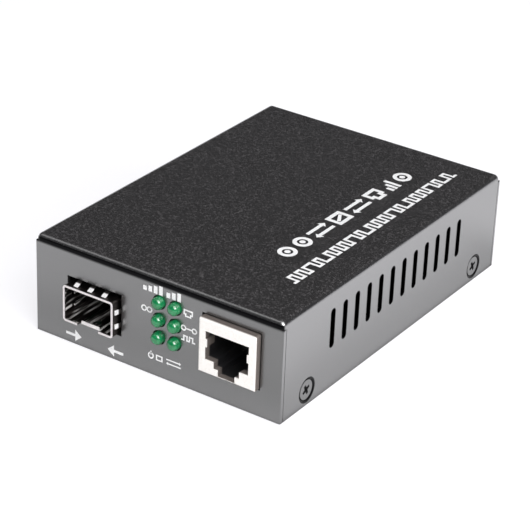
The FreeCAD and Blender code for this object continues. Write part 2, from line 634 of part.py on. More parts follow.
def sfp_spring_collar():
    """Band round the cage with bowed fingers that reach out through the case's opening."""
    band_front = FRONT + SHEET + COLLAR_BEHIND
    band_rear = band_front + COLLAR_BAND
    inner, outer = CAGE_W / 2 + SEAT, CAGE_W / 2 + SEAT + COLLAR_T

    def arch(half_w, y0, y1, z0, top, radius):
        return rounded(box(CAGE_X - half_w, CAGE_X + half_w, y0, y1, z0, top), radius,
                       lambda run, middle: abs(run.y) > 0.9 and middle.z > CAGE_TOP)
    ring = arch(outer, band_front, band_rear, BOARD_TOP, CAGE_TOP + SEAT + COLLAR_T,
                CAGE_CORNER_R + COLLAR_T)
    core = arch(inner, band_front - 1, band_rear + 1, BOARD_TOP - 1, CAGE_TOP + SEAT, CAGE_CORNER_R)
    pieces = [ring.cut(core)]

    tip = CAGE_FRONT + FINGER_STOP
    length = band_front - tip + COLLAR_T
    for x in spread(FINGERS_TOP, FINGER_PITCH_TOP):
        finger = spring_finger(FINGER_BOW_TOP, length)
        pieces.append(finger.translated(V(CAGE_X + x, tip, CAGE_TOP + SEAT)))
    middle = BOARD_TOP + CAGE_H / 2
    for side in (-1, 1):
        for z in spread(FINGERS_SIDE, FINGER_PITCH_SIDE):
            finger = spring_finger(FINGER_BOW_SIDE, length)
            finger.rotate(V(), V(0, 1, 0), side * 90)
            pieces.append(finger.translated(V(CAGE_X + side * inner, tip, middle + z)))
    return fused(pieces)


def host_contacts(clearance=0.0):
    """Contacts of the host connector in two rows, or the channels they need in its body."""
    thick, width = CONTACT_T + 2 * clearance, CONTACT_W + 2 * clearance
    slot_floor = BOARD_TOP + HOST_SLOT_Z
    foot_z = BOARD_TOP + CONTACT_T / 2
    paths = []
    for face, way, blade_z, (tip, drop, foot) in (
            (HOST_REAR, 1, slot_floor + HOST_SLOT_H + CONTACT_T / 2 - CONTACT_PROUD, UPPER_REACH),
            (HOST_FRONT, -1, slot_floor - CONTACT_T / 2 + CONTACT_PROUD, LOWER_REACH)):
        knee = face + way * drop
        paths.append([(HOST_FRONT + tip, blade_z), (knee, blade_z), (knee, foot_z),
                      (knee + way * foot, foot_z)])
    return [folded_strip(path, thick, CAGE_X + x, width)
            for x in spread(HOST_PER_ROW, HOST_PITCH) for path in paths]


def sfp_connector():
    """Moulded host connector with the slot that a module's edge card enters."""
    body = box(CAGE_X - HOST_W / 2, CAGE_X + HOST_W / 2, HOST_FRONT, HOST_REAR,
               BOARD_TOP, BOARD_TOP + HOST_H)
    body = rounded(body, HOST_EDGE_R, lambda run, middle: abs(run.y) > 0.9 and middle.z > BOARD_TOP + 1)
    slot_floor = BOARD_TOP + HOST_SLOT_Z
    mouth = box(CAGE_X - HOST_SLOT_W / 2, CAGE_X + HOST_SLOT_W / 2, HOST_FRONT - 1,
                HOST_FRONT + HOST_SLOT_DEPTH, slot_floor, slot_floor + HOST_SLOT_H)
    return body.cut([mouth] + host_contacts(FIT))


# ---------------------------------------------------------------- copper network jack
def contact_wires(clearance=0.0):
    """Contacts of the jack: pin, run under the roof, front bend and sloping free end."""
    thick = WIRE_T + 2 * clearance
    roof = PLUG_TOP + WIRE_T
    front = JACK_FRONT + WIRE_BACK
    nose, fall = WIRE_NOSE
    free_end = [(front + nose, roof), (front, roof - fall / 2), (front + nose, roof - fall),
                (front + WIRE_RUN, roof - WIRE_DROP)]
    return [folded_strip([(y, PIN_LOW), (y, roof)] + free_end, thick, x, thick) for x, y in wire_spots()]


def jack_opening(back):
    """Cutters of the stepped plug cavity: plug, latch and the latch's narrow tip."""
    steps = [(PLUG_W, PLUG_BOTTOM, PLUG_TOP), (LATCH_W, PLUG_BOTTOM - LATCH_H, PLUG_BOTTOM),
             (LATCH_SLOT_W, BOARD_TOP + LATCH_LIP, PLUG_BOTTOM)]
    return [box(JACK_X - width / 2, JACK_X + width / 2, JACK_FRONT - 1, back, low, high)
            for width, low, high in steps]


def jack_block(inset, y0, y1):
    """Block of the jack's outside, drawn in by inset at its sides and top, its long edges rounded."""
    blank = box(JACK_X - JACK_W / 2 + inset, JACK_X + JACK_W / 2 - inset, y0, y1,
                BOARD_TOP, JACK_TOP - inset)
    return rounded(blank, BEZEL_R, lambda run, middle: abs(run.y) > 0.9 and middle.z > BOARD_TOP + 1)


def bezel_hooks(clearance=0.0):
    """Two hooks of the bezel that lie in the plug cavity's side walls, or their pockets."""
    hooks = []
    for side in (-1, 1):
        wall = JACK_X + side * PLUG_W / 2
        hooks.append(box(*sorted((wall - side * BEZEL_HOOK_IN, wall + side * (BEZEL_HOOK_OUT + clearance))),
                         JACK_FRONT, JACK_FRONT + BEZEL_HOOK_LENGTH + clearance,
                         HOOK_BOTTOM - clearance, HOOK_BOTTOM + BEZEL_HOOK_H + clearance))
    return hooks


def rj45_bezel():
    """Cap over the jack's nose: rounded face with the stepped opening, thin skirt and two hooks."""
    skirt_end = JACK_FRONT + BEZEL_DEPTH
    cap = rounded(jack_block(0, JACK_FRONT, skirt_end), BEZEL_R,
                  lambda run, middle: middle.y < JACK_FRONT + 0.01)
    nose = box(JACK_X - JACK_W / 2 + BEZEL_SKIRT_T, JACK_X + JACK_W / 2 - BEZEL_SKIRT_T,
               JACK_FRONT + BEZEL_FACE_T, skirt_end + 1, BOARD_TOP - 1, JACK_TOP - BEZEL_SKIRT_T)
    return fused([cap.cut(jack_opening(JACK_REAR) + [nose])] + bezel_hooks())


def rj45_housing():
    """Moulded jack body: nose for the bezel, stepped plug cavity, contact chamber and pegs."""
    shoulder = JACK_FRONT + BEZEL_DEPTH + FIT
    step = BEZEL_SKIRT_T + FIT
    nose = box(JACK_X - JACK_W / 2 + step, JACK_X + JACK_W / 2 - step,
               JACK_FRONT + BEZEL_FACE_T + FIT, shoulder + 1, BOARD_TOP, JACK_TOP - step)
    body = fused([jack_block(0, shoulder, JACK_REAR), nose])

    comb = WIRE_PITCH * WIRE_COUNT + WIRE_T
    half_chamber = JACK_W / 2 - JACK_WALL
    cutters = jack_opening(PLUG_REAR) + bezel_hooks(FIT)
    cutters += [box(JACK_X - comb / 2, JACK_X + comb / 2, JACK_FRONT + WIRE_BACK - COMB_FRONT, JACK_REAR,
                    PLUG_TOP - WIRE_ROOF_GAP, PLUG_TOP + 2 * WIRE_T),
                box(JACK_X - half_chamber, JACK_X + half_chamber, PLUG_REAR, JACK_REAR + 1,
                    BOARD_TOP - 1, JACK_TOP - JACK_WALL)]
    pegs = [rod(PEG_R, V(x, y, PIN_LOW), V(0, 0, PIN_REACH + 0.1)) for x, y in peg_spots()]
    return fused([body.cut(cutters)] + pegs)


def rj45_insert():
    """Contact carrier that fills the back of the jack, moulded round its contacts."""
    half = JACK_W / 2 - JACK_WALL - FIT
    block = box(JACK_X - half, JACK_X + half, PLUG_REAR + FIT, JACK_REAR - CARRIER_BACK,
                BOARD_TOP + CARRIER_FOOT, JACK_TOP - JACK_WALL - FIT)
    return block.cut(contact_wires(SEAT / 2))


# ---------------------------------------------------------------- indicator lamps
def lamp(x, z):
    """Round lamp with a domed tip and a flange at its back."""
    flange_front = LED_REAR - LED_FLANGE_T
    profile = [V(x, LED_REAR, z), V(x + LED_FLANGE_R, LED_REAR, z), V(x + LED_FLANGE_R, flange_front, z),
               V(x + LED_R, flange_front, z)]
    for i in range(LED_DOME_STEPS + 1):
        turn = math.pi / 2 * i / LED_DOME_STEPS
        profile.append(V(x + LED_R * math.cos(turn), LED_TIP + LED_R - LED_R * math.sin(turn), z))
    return Part.Face(Part.makePolygon(profile + profile[:1])).revolve(V(x, 0, z), V(0, 1, 0), 360)


def led_leads():
    """Two leads for each lamp, back from the lamp and down through the board."""
    leads = []
    for row, x, y in lead_spots():
        z = LED_PLACES[row * LED_COLUMNS][1]
        leads.append(folded_strip([(LED_REAR, z), (y, z), (y, PIN_LOW)], LEAD_T, x, LEAD_T))
    return group(leads)


def led_holder():
    """Moulded plate that spaces the lamps behind the front wall: their flanges bear on its back."""
    half_w = LED_PITCH * (LED_COLUMNS - 1) / 2 + LED_FLANGE_R + HOLDER_WALL
    top = LED_PLACES[0][1] + LED_FLANGE_R + HOLDER_WALL
    rear = LED_REAR - LED_FLANGE_T - SEAT
    plate = box(LED_X - half_w, LED_X + half_w, HOLDER_FRONT, rear, BOARD_TOP, top)
    plate = rounded(plate, HOLDER_EDGE, lambda run, middle: abs(run.y) > 0.9 and middle.z > top - 0.1)
    return plate.cut([rod(LED_R + FIT, V(x, HOLDER_FRONT - 1, z), V(0, rear - HOLDER_FRONT + 2, 0))
                      for x, z in LED_PLACES])


# ---------------------------------------------------------------- power inlet
def dc_jack_housing():
    """Barrel socket: square front, round back, and a collar that fills the rear wall's hole."""
    back = DC_FACE - DC_LENGTH
    face = box(DC_X - DC_W / 2, DC_X + DC_W / 2, DC_FACE - DC_FACE_T, DC_FACE, BOARD_TOP, DC_Z + DC_TOP)
    barrel = rod(DC_BARREL_R, V(DC_X, back, DC_Z), V(0, DC_LENGTH, 0))
    foot = box(DC_X - DC_BARREL_R, DC_X + DC_BARREL_R, back, DC_FACE, BOARD_TOP, DC_Z)
    collar = rod(DC_COLLAR_R, V(DC_X, DC_FACE, DC_Z), V(0, DC_MOUTH - DC_FACE, 0))
    shell = fused([face, barrel, foot, collar])
    bore = rod(DC_BORE_R, V(DC_X, DC_MOUTH - DC_BORE_DEPTH, DC_Z), V(0, DC_BORE_DEPTH + 1, 0))
    pin_way = rod(DC_PIN_R + FIT, V(DC_X, back - 1, DC_Z), V(0, DC_LENGTH, 0))
    return shell.cut([bore, pin_way] + dc_tabs(FIT))


def dc_tabs(clearance=0.0):
    """The three solder tabs: centre pin's, sleeve spring's and switch blade's."""
    def upright(x, y, width, depth, top):
        half_x, half_y = width / 2 + clearance, depth / 2 + clearance
        return box(x - half_x, x + half_x, y - half_y, y + half_y, PIN_LOW, top)

    rear_tab, (mid_x, mid_y, mid_w, mid_t), side_tab = dc_tab_spots()
    spring_z = DC_Z - DC_BORE_R + DC_TAB_T / 2
    spring = folded_strip([(mid_y + DC_SPRING_LENGTH, spring_z + DC_SPRING_RISE), (mid_y, spring_z),
                           (mid_y, PIN_LOW)], mid_t + 2 * clearance, mid_x, mid_w + 2 * clearance)
    return [upright(*rear_tab, DC_Z + DC_PIN_R), spring, upright(*side_tab, BOARD_TOP + DC_SIDE_TAB_H)]


def dc_jack_pin():
    """Centre pin with a bevelled tip."""
    tab_face = dc_tab_spots()[0][1] + DC_TAB_T / 2
    tip = DC_MOUTH - DC_PIN_TIP
    pin = rod(DC_PIN_R, V(DC_X, tab_face, DC_Z), V(0, tip - tab_face, 0))
    return pin.makeChamfer(DC_PIN_EDGE, [edge for edge in pin.Edges if edge.CenterOfMass.y > tip - 0.1])


# ---------------------------------------------------------------- board components
def chip_body(x, y, width, depth, height):
    """Moulded package that stands just clear of the board, its top edges broken."""
    top = BOARD_TOP + height
    body = box(x - width / 2, x + width / 2, y - depth / 2, y + depth / 2, BOARD_TOP + CHIP_LIFT, top)
    return body.makeChamfer(CHIP_EDGE, [edge for edge in body.Edges if edge.CenterOfMass.z > top - 0.01])


def pin_row(x, y, turn, count, pitch, width):
    """Formed pins along one side of a package, whose middle is (x, y): turn 0 faces +Y."""
    line = PIN_T / 2
    pin = folded_strip([(0, PIN_LIFT - line), (PIN_SHOULDER, PIN_LIFT - line), (PIN_HEEL, line),
                        (PIN_FOOT, line)], PIN_T, 0, width)
    row = group([pin.translated(V(step, 0, 0)) for step in spread(count, pitch)])
    row.rotate(V(), V(0, 0, 1), turn)
    row.translate(V(x, y, BOARD_TOP))
    return row.Solids


def two_sided_pins(x, y, depth, count, pitch, width):
    """Pins along the front and rear of a package."""
    return group(pin_row(x, y - depth / 2, 180, count, pitch, width) +
                 pin_row(x, y + depth / 2, 0, count, pitch, width))


def converter_chip_pins():
    """Pins on all four sides of the converter chip."""
    half = CHIP_W / 2
    pins = []
    for dx, dy, turn in ((0, half, 0), (-half, 0, 90), (0, -half, 180), (half, 0, 270)):
        pins += pin_row(CHIP_X + dx, CHIP_Y + dy, turn, CHIP_PINS, CHIP_PIN_PITCH, CHIP_PIN_W)
    return group(pins)


def supply_capacitor(x, y):
    """Electrolytic can with a crimped groove near its foot and two leads through the board."""
    top, neck = BOARD_TOP + CAP_H, BOARD_TOP + CAP_NECK
    outer = [(0, BOARD_TOP), (CAP_R, BOARD_TOP), (CAP_R, neck), (CAP_R - CAP_GROOVE, neck + CAP_GROOVE),
             (CAP_R, neck + 2 * CAP_GROOVE), (CAP_R, top - CAP_EDGE), (CAP_R - CAP_EDGE, top), (0, top)]
    profile = [V(x + radius, y, z) for radius, z in outer]
    can = Part.Face(Part.makePolygon(profile + profile[:1])).revolve(V(x, y, 0), V(0, 0, 1), 360)
    half = LEAD_T / 2
    leads = [box(x - half, x + half, y + side * CAP_LEAD_SPACING / 2 - half,
                 y + side * CAP_LEAD_SPACING / 2 + half, PIN_LOW, BOARD_TOP) for side in (-1, 1)]
    return fused([can] + leads)


def power_inductor():
    """Shielded choke: rounded square ferrite with a round well over its core."""
    half, top = INDUCTOR_W / 2, BOARD_TOP + INDUCTOR_H
    block = box(INDUCTOR_X - half, INDUCTOR_X + half, INDUCTOR_Y - half, INDUCTOR_Y + half, BOARD_TOP, top)
    block = rounded(block, INDUCTOR_CORNER, lambda run, middle: abs(run.z) > 0.9)
    return block.cut(rod(INDUCTOR_CORE_R, V(INDUCTOR_X, INDUCTOR_Y, top - INDUCTOR_GROOVE), V(0, 0, 1)))


def clock_crystal():
    """Flat metal can with rounded corners."""
    half_w, half_d = CRYSTAL_W / 2, CRYSTAL_D / 2
    can = box(CRYSTAL_X - half_w, CRYSTAL_X + half_w, CRYSTAL_Y - half_d, CRYSTAL_Y + half_d,
              BOARD_TOP, BOARD_TOP + CRYSTAL_H)
    return rounded(can, CRYSTAL_EDGE, lambda run, middle: abs(run.z) > 0.9)


def part_row(x, y, count):
    """Middles of a row of small parts, centred on x."""
    return [(x + step, y) for step in spread(count, SMALL_PITCH)]


def small_parts(places, height):
    """Chip capacitors or resistors on their pads."""
    return group([box(x - CHIP_PART_W / 2, x + CHIP_PART_W / 2, y - CHIP_PART_D / 2, y + CHIP_PART_D / 2,
                      BOARD_TOP, BOARD_TOP + height) for x, y in places])


behind, before = CAPACITOR_ROWS
chip_row = CHIP_W / 2 + SMALL_GAP
CAPACITOR_PLACES = (part_row(CHIP_X, CHIP_Y + chip_row, behind) +
                    part_row(CHIP_X, CHIP_Y - chip_row, before))
RESISTOR_PLACES = (part_row(MEMORY_X, MEMORY_Y + MEMORY_D / 2 + SMALL_GAP, MEMORY_RESISTORS) +
                   part_row(LED_X, BOARD_FRONT + LED_RESISTOR_BACK, LED_RESISTORS))


# ---------------------------------------------------------------- the parts, one file each
nodes = {
    "lid": lid(),
    "base_plate": base_plate(),
    "side_screws": side_screws(),
    "circuit_board": circuit_board(),
    "board_standoffs": board_standoffs(),
    "board_screws": board_screws(),
    "sfp_cage": sfp_cage(),
    "sfp_spring_collar": sfp_spring_collar(),
    "sfp_connector": sfp_connector(),
    "sfp_connector_contacts": group(host_contacts()),
    "rj45_bezel": rj45_bezel(),
    "rj45_housing": rj45_housing(),
    "rj45_insert": rj45_insert(),
    "rj45_contacts": group(contact_wires()),
    "led_leads": led_leads(),
    "led_holder": led_holder(),
    "dc_jack_housing": dc_jack_housing(),
    "dc_jack_pin": dc_jack_pin(),
    "dc_jack_contacts": group(dc_tabs()),
    "converter_chip": chip_body(CHIP_X, CHIP_Y, CHIP_W, CHIP_W, CHIP_H),
    "converter_chip_pins": converter_chip_pins(),
    "memory_chip": chip_body(MEMORY_X, MEMORY_Y, MEMORY_W, MEMORY_D, MEMORY_H),
    "memory_chip_pins": two_sided_pins(MEMORY_X, MEMORY_Y, MEMORY_D, MEMORY_PINS, PIN_PITCH, PIN_W),
    "regulator_chip": chip_body(REGULATOR_X, REGULATOR_Y, REGULATOR_W, REGULATOR_D, REGULATOR_H),
    "regulator_chip_pins": two_sided_pins(REGULATOR_X, REGULATOR_Y, REGULATOR_D, REGULATOR_PINS,
                                          REGULATOR_PITCH, REGULATOR_PIN_W),
    "network_transformer": chip_body(JACK_X, TRANSFORMER_Y, TRANSFORMER_W, TRANSFORMER_D, TRANSFORMER_H),
    "transformer_pins": two_sided_pins(JACK_X, TRANSFORMER_Y, TRANSFORMER_D, TRANSFORMER_PINS,
                                       PIN_PITCH, PIN_W),
    "clock_crystal": clock_crystal(),
    "power_inductor": power_inductor(),
    "input_diode": chip_body(DIODE_X, DIODE_Y, DIODE_W, DIODE_D, DIODE_H),
    "chip_capacitors": small_parts(CAPACITOR_PLACES, CAPACITOR_T),
    "chip_resistors": small_parts(RESISTOR_PLACES, RESISTOR_T),
}
for number, (x, z) in enumerate(LED_PLACES, start=1):
    nodes[f"led_{number}"] = lamp(x, z)
for number, (x, y) in enumerate(CAP_PLACES, start=1):
    nodes[f"supply_capacitor_{number}"] = supply_capacitor(x, y)

os.makedirs("parts", exist_ok=True)
for name, shape in nodes.items():
    shape.exportStep(f"parts/{name}.step")
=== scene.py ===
"""Compact fibre media converter, dressed: powder-coated steel case, nickel module cage, ivory
network jack, green lamps, white printed marks, and the board with its parts inside.

Metres, +Z up, -Y is the front with both ports, +X is the right-hand side seen from the front.
"""
import math

import bmesh
import bpy
from mathutils import Matrix, Vector


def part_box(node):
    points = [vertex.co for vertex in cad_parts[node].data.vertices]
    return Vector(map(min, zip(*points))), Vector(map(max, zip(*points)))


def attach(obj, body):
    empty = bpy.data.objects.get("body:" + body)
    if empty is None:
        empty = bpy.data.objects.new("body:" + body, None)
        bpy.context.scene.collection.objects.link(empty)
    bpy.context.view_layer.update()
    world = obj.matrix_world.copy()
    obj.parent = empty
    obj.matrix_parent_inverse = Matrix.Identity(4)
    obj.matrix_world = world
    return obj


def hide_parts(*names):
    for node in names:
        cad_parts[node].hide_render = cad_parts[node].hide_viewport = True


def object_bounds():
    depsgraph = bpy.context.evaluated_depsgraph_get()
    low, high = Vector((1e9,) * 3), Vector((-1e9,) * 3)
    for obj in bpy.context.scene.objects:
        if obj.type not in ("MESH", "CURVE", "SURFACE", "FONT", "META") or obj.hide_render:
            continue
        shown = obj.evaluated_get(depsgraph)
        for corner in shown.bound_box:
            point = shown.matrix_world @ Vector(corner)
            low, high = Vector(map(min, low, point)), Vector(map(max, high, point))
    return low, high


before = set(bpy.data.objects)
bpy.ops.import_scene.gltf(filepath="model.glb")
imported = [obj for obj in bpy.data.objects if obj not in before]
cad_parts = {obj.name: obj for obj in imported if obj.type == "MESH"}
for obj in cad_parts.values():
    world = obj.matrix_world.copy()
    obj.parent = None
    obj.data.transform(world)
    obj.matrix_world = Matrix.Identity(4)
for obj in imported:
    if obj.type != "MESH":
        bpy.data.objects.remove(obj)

cad_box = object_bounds()
MM = 0.001

# ---------------------------------------------------------------- camera
# A long lens from the front right, well above the case, so that the top, the front with both
# ports and the right-hand side with its vents all show, and upright edges stay nearly parallel.
VIEW_AZIMUTH = math.radians(33.413)
VIEW_ELEVATION = math.radians(27.873)
VIEW_ROLL = math.radians(2.356)
VIEW_DISTANCE = 507.922 * MM
VIEW_TARGET = Vector((2.621, -8.013, 13.0)) * MM
VIEW_LENS = 143.10       # focal length in mm, behind a 36 mm wide frame

backward = Vector((math.sin(VIEW_AZIMUTH) * math.cos(VIEW_ELEVATION),
                   -math.cos(VIEW_AZIMUTH) * math.cos(VIEW_ELEVATION),
                   math.sin(VIEW_ELEVATION)))
level_right = Vector((0, 0, 1)).cross(backward).normalized()
level_up = backward.cross(level_right)
camera_data = bpy.data.cameras.new("camera")
camera_data.sensor_width = 36.0
camera_data.lens = VIEW_LENS
camera_data.clip_start = 0.01
camera_data.clip_end = 20.0
camera = bpy.data.objects.new("camera", camera_data)
bpy.context.collection.objects.link(camera)
camera.matrix_world = (Matrix.Translation(VIEW_TARGET + VIEW_DISTANCE * backward)
                       @ Matrix((level_right, level_up, backward)).transposed().to_4x4()
                       @ Matrix.Rotation(VIEW_ROLL, 4, "Z"))
bpy.context.scene.camera = camera
bpy.context.scene.view_settings.view_transform = "Standard"

# ---------------------------------------------------------------- floor, lamps and world
# A pale studio dish: a flat disc that turns up at its rim, so that the case stands on white and
# mirrors white from below. Soft lamps stand to the right, in front and overhead, and a faint strip
# over the left draws the line along the front bend. The two low fill lamps leave no mirror image.
DISH_R = 2.0
DISH_RIM_R = 2.5
DISH_RIM_H = 0.45
RIM_STEPS = 6
DISH_STEPS = 96
PLAIN_PAINT = (0.8, 0.8, 0.8, 1)
FAINT_PAINT = (0.3, 0.3, 0.3, 1)
GLOW_COLOR = (0.97, 0.965, 1, 1)
SEEN_GLOW = 0.78        # with the faint paint's own light this shows as plain white
SHADE_SPREAD = 27 * MM  # how far the case's painted shade reaches over the dish
SHADE_FLOOR = 0.52      # what is left of the glow in the painted shade beside the case
CONTACT = 1.4 * MM      # the darkest painted shade, close along the foot of the case
FRONT_GLOW_LEFT = 0.52  # painted, dimmer mirrored glow of the dish in front of the case, beyond its left end and at its right end; behind and right of the case it is 1
FRONT_GLOW_RIGHT = 0.28  # and at its right end; behind and right of the case it is 1
FRONT_BLEND = 10 * MM   # half the stretch over which the glow changes there


def shader(material, kind, **values):
    """Add a node to a material and set its plain input values."""
    node = material.node_tree.nodes.new(kind)
    for name, value in values.items():
        node.inputs[name.replace("_", " ")].default_value = value
    return node


def link(material, output, target):
    """Join an output to an input in a material."""
    material.node_tree.links.new(output, target)


def math_node(material, operation, *values):
    """Math node whose inputs are numbers or other nodes' outputs."""
    node = material.node_tree.nodes.new("ShaderNodeMath")
    node.operation = operation
    for socket, value in zip(node.inputs, values):
        if isinstance(value, bpy.types.NodeSocket):
            link(material, value, socket)
        else:
            socket.default_value = value
    return node.outputs[0]


def object_place(material):
    """Object coordinates as separate X, Y and Z outputs."""
    place = shader(material, "ShaderNodeSeparateXYZ")
    link(material, shader(material, "ShaderNodeTexCoord").outputs["Object"], place.inputs[0])
    return place.outputs


def dish_paint():
    """White to the camera, with a faint shadow. Mirrored rays see the white too, with painted shade
    close to the case and a painted dimming in front of it. All other light sees pale paint."""
    paint = bpy.data.materials.new("dish_paint")
    paint.use_nodes = True
    paint.node_tree.nodes.clear()
    rays = shader(paint, "ShaderNodeLightPath").outputs
    mirrored = math_node(paint, "MAXIMUM", rays["Is Glossy Ray"], rays["Is Transmission Ray"])
    lit = math_node(paint, "MAXIMUM", mirrored, rays["Is Camera Ray"])

    place = object_place(paint)
    half_w, half_d = cad_box[1][0], cad_box[1][1]
    beside = math_node(paint, "SUBTRACT", math_node(paint, "ABSOLUTE", place["X"]), half_w)
    along = math_node(paint, "SUBTRACT", math_node(paint, "ABSOLUTE", place["Y"]), half_d)
    away = math_node(paint, "MAXIMUM", beside, along)
    shade = shader(paint, "ShaderNodeMapRange", From_Min=0.0, From_Max=SHADE_SPREAD,
                   To_Min=SHADE_FLOOR, To_Max=1.0)
    shade.interpolation_type = "SMOOTHERSTEP"
    link(paint, away, shade.inputs["Value"])
    contact = shader(paint, "ShaderNodeMapRange", From_Min=0.0, From_Max=CONTACT)
    link(paint, away, contact.inputs["Value"])
    front_y = cad_box[0][1]
    in_front = shader(paint, "ShaderNodeMapRange", From_Min=2 * cad_box[0][0], From_Max=half_w,
                      To_Min=FRONT_GLOW_LEFT, To_Max=FRONT_GLOW_RIGHT)
    link(paint, place["X"], in_front.inputs["Value"])
    front = shader(paint, "ShaderNodeMapRange", From_Min=front_y - FRONT_BLEND,
                   From_Max=front_y + FRONT_BLEND, To_Max=1.0)
    link(paint, in_front.outputs[0], front.inputs["To Min"])
    link(paint, place["Y"], front.inputs["Value"])
    # Painted shade in the mirrored glow: darker close to the case and in front of it.
    glow_seen = math_node(paint, "MULTIPLY", shade.outputs[0], front.outputs[0])
    glow_seen = math_node(paint, "MULTIPLY", glow_seen, contact.outputs[0])

    seen = math_node(paint, "MULTIPLY", rays["Is Camera Ray"], SEEN_GLOW)
    other = math_node(paint, "SUBTRACT", 1.0, rays["Is Camera Ray"])
    strength = math_node(paint, "MULTIPLY_ADD", other, glow_seen, seen)

    plain = shader(paint, "ShaderNodeBsdfDiffuse", Color=PLAIN_PAINT)
    faint = shader(paint, "ShaderNodeBsdfDiffuse", Color=FAINT_PAINT)
    glow = shader(paint, "ShaderNodeEmission", Color=GLOW_COLOR)
    link(paint, strength, glow.inputs["Strength"])
    white = shader(paint, "ShaderNodeAddShader")
    link(paint, faint.outputs[0], white.inputs[0])
    link(paint, glow.outputs[0], white.inputs[1])
    either = shader(paint, "ShaderNodeMixShader")
    link(paint, lit, either.inputs[0])
    link(paint, plain.outputs[0], either.inputs[1])
    link(paint, white.outputs[0], either.inputs[2])
    link(paint, either.outputs[0], shader(paint, "ShaderNodeOutputMaterial").inputs["Surface"])
    return paint


def made(name, form, *materials):
    """Turn a bmesh into a named object at the origin."""
    bmesh.ops.recalc_face_normals(form, faces=form.faces)
    mesh = bpy.data.meshes.new(name)
    form.to_mesh(mesh)
    form.free()
    for material in materials:
        mesh.materials.append(material)
    piece = bpy.data.objects.new(name, mesh)
    bpy.context.collection.objects.link(piece)
    return piece


form = bmesh.new()
profile = [form.verts.new((0, 0, 0)), form.verts.new((DISH_R, 0, 0))]
for step in range(1, RIM_STEPS + 1):
    turn = math.pi / 2 * step / RIM_STEPS
    profile.append(form.verts.new((DISH_R + (DISH_RIM_R - DISH_R) * math.sin(turn), 0,
                                   DISH_RIM_H * (1 - math.cos(turn)))))
edges = [form.edges.new(pair) for pair in zip(profile, profile[1:])]
bmesh.ops.spin(form, geom=profile + edges, cent=(0, 0, 0), axis=(0, 0, 1), angle=2 * math.pi,
               steps=DISH_STEPS, use_merge=True)
bmesh.ops.remove_doubles(form, verts=form.verts, dist=1e-6)
floor = made("floor", form, dish_paint())
for face in floor.data.polygons:
    face.use_smooth = True

WHITE_AT_1M = 9.87      # lamp power in watts that lights a white surface 1 m away to plain white


def soft_lamp(name, toward, distance, size, level, length=None):
    """Area lamp that faces the case from the direction toward; its length lies along the depth."""
    lamp_data = bpy.data.lights.new(name, "AREA")
    lamp_data.shape = "RECTANGLE"
    lamp_data.size = size
    lamp_data.size_y = length or size
    lamp_data.energy = WHITE_AT_1M * level * distance ** 2
    lamp = bpy.data.objects.new(name, lamp_data)
    bpy.context.collection.objects.link(lamp)
    direction = Vector(toward).normalized()
    lamp.location = direction * distance
    lamp.rotation_euler = direction.to_track_quat("Z", "Y").to_euler()
    return lamp


soft_lamp("lamp_right", (0.66, -0.40, 0.64), 1.0, 0.5, 0.60)
lamp_front = soft_lamp("lamp_front", (0.38, -0.76, 0.52), 1.3, 1.0, 0.45)
soft_lamp("lamp_over", (0.30, -0.30, 0.90), 1.0, 0.6, 0.38)
soft_lamp("lamp_strip", (-0.47, -0.22, 0.86), 1.0, 0.28, 0.062, length=0.95)
lamp_low = soft_lamp("lamp_low", (0.97, 0.10, 0.25), 1.2, 0.8, 0.9)
for fill in (lamp_front, lamp_low):
    fill.visible_glossy = False

world = bpy.data.worlds.new("studio_dark")
bpy.context.scene.world = world
world.use_nodes = True
world.node_tree.nodes["Background"].inputs["Color"].default_value = (0.03, 0.03, 0.032, 1)

# ---------------------------------------------------------------- case
# Lid and base plate are folded from 1 mm steel sheet. Both are powder coated, semi-gloss black,
# which bakes into a fine orange peel with paler grains in it.


def effect(name, inputs, outputs):
    """Start a shader node group with named value inputs and outputs."""
    group = bpy.data.node_groups.new(name, "ShaderNodeTree")
    for label, default in inputs.items():
        socket = group.interface.new_socket(label, in_out="INPUT", socket_type="NodeSocketFloat")
        socket.default_value = default
    for label in outputs:
        group.interface.new_socket(label, in_out="OUTPUT", socket_type="NodeSocketFloat")
    return group, group.nodes.new("NodeGroupInput"), group.nodes.new("NodeGroupOutput")


def grain_effect():
    """Fine random grain on Object coordinates: a height, a mask of scattered grains that run
    into one another, and a mask of single specks."""
    group, given, result = effect("grain", {"Size mm": 0.2, "Rarity": 0.6, "Softness": 0.1},
                                  ["Height", "Grains", "Specks"])
    place = group.nodes.new("ShaderNodeTexCoord")
    per_metre = group.nodes.new("ShaderNodeMath")
    per_metre.operation = "DIVIDE"
    per_metre.inputs[0].default_value = 1000.0
    group.links.new(given.outputs["Size mm"], per_metre.inputs[1])
    noise = group.nodes.new("ShaderNodeTexNoise")
    noise.inputs["Detail"].default_value = 3.0
    noise.inputs["Roughness"].default_value = 0.6
    group.links.new(place.outputs["Object"], noise.inputs["Vector"])
    group.links.new(per_metre.outputs[0], noise.inputs["Scale"])
    top = group.nodes.new("ShaderNodeMath")
    top.operation = "ADD"
    group.links.new(given.outputs["Rarity"], top.inputs[0])
    group.links.new(given.outputs["Softness"], top.inputs[1])
    grains = group.nodes.new("ShaderNodeMapRange")
    group.links.new(noise.outputs["Fac"], grains.inputs["Value"])
    group.links.new(given.outputs["Rarity"], grains.inputs["From Min"])
    group.links.new(top.outputs[0], grains.inputs["From Max"])
    cells = group.nodes.new("ShaderNodeTexVoronoi")
    group.links.new(place.outputs["Object"], cells.inputs["Vector"])
    group.links.new(per_metre.outputs[0], cells.inputs["Scale"])
    chance = group.nodes.new("ShaderNodeSeparateColor")
    group.links.new(cells.outputs["Color"], chance.inputs[0])
    specks = group.nodes.new("ShaderNodeMapRange")
    group.links.new(chance.outputs[0], specks.inputs["Value"])
    group.links.new(given.outputs["Rarity"], specks.inputs["From Min"])
    group.links.new(top.outputs[0], specks.inputs["From Max"])
    group.links.new(noise.outputs["Fac"], result.inputs["Height"])
    group.links.new(grains.outputs[0], result.inputs["Grains"])
    group.links.new(specks.outputs[0], result.inputs["Specks"])
    return group


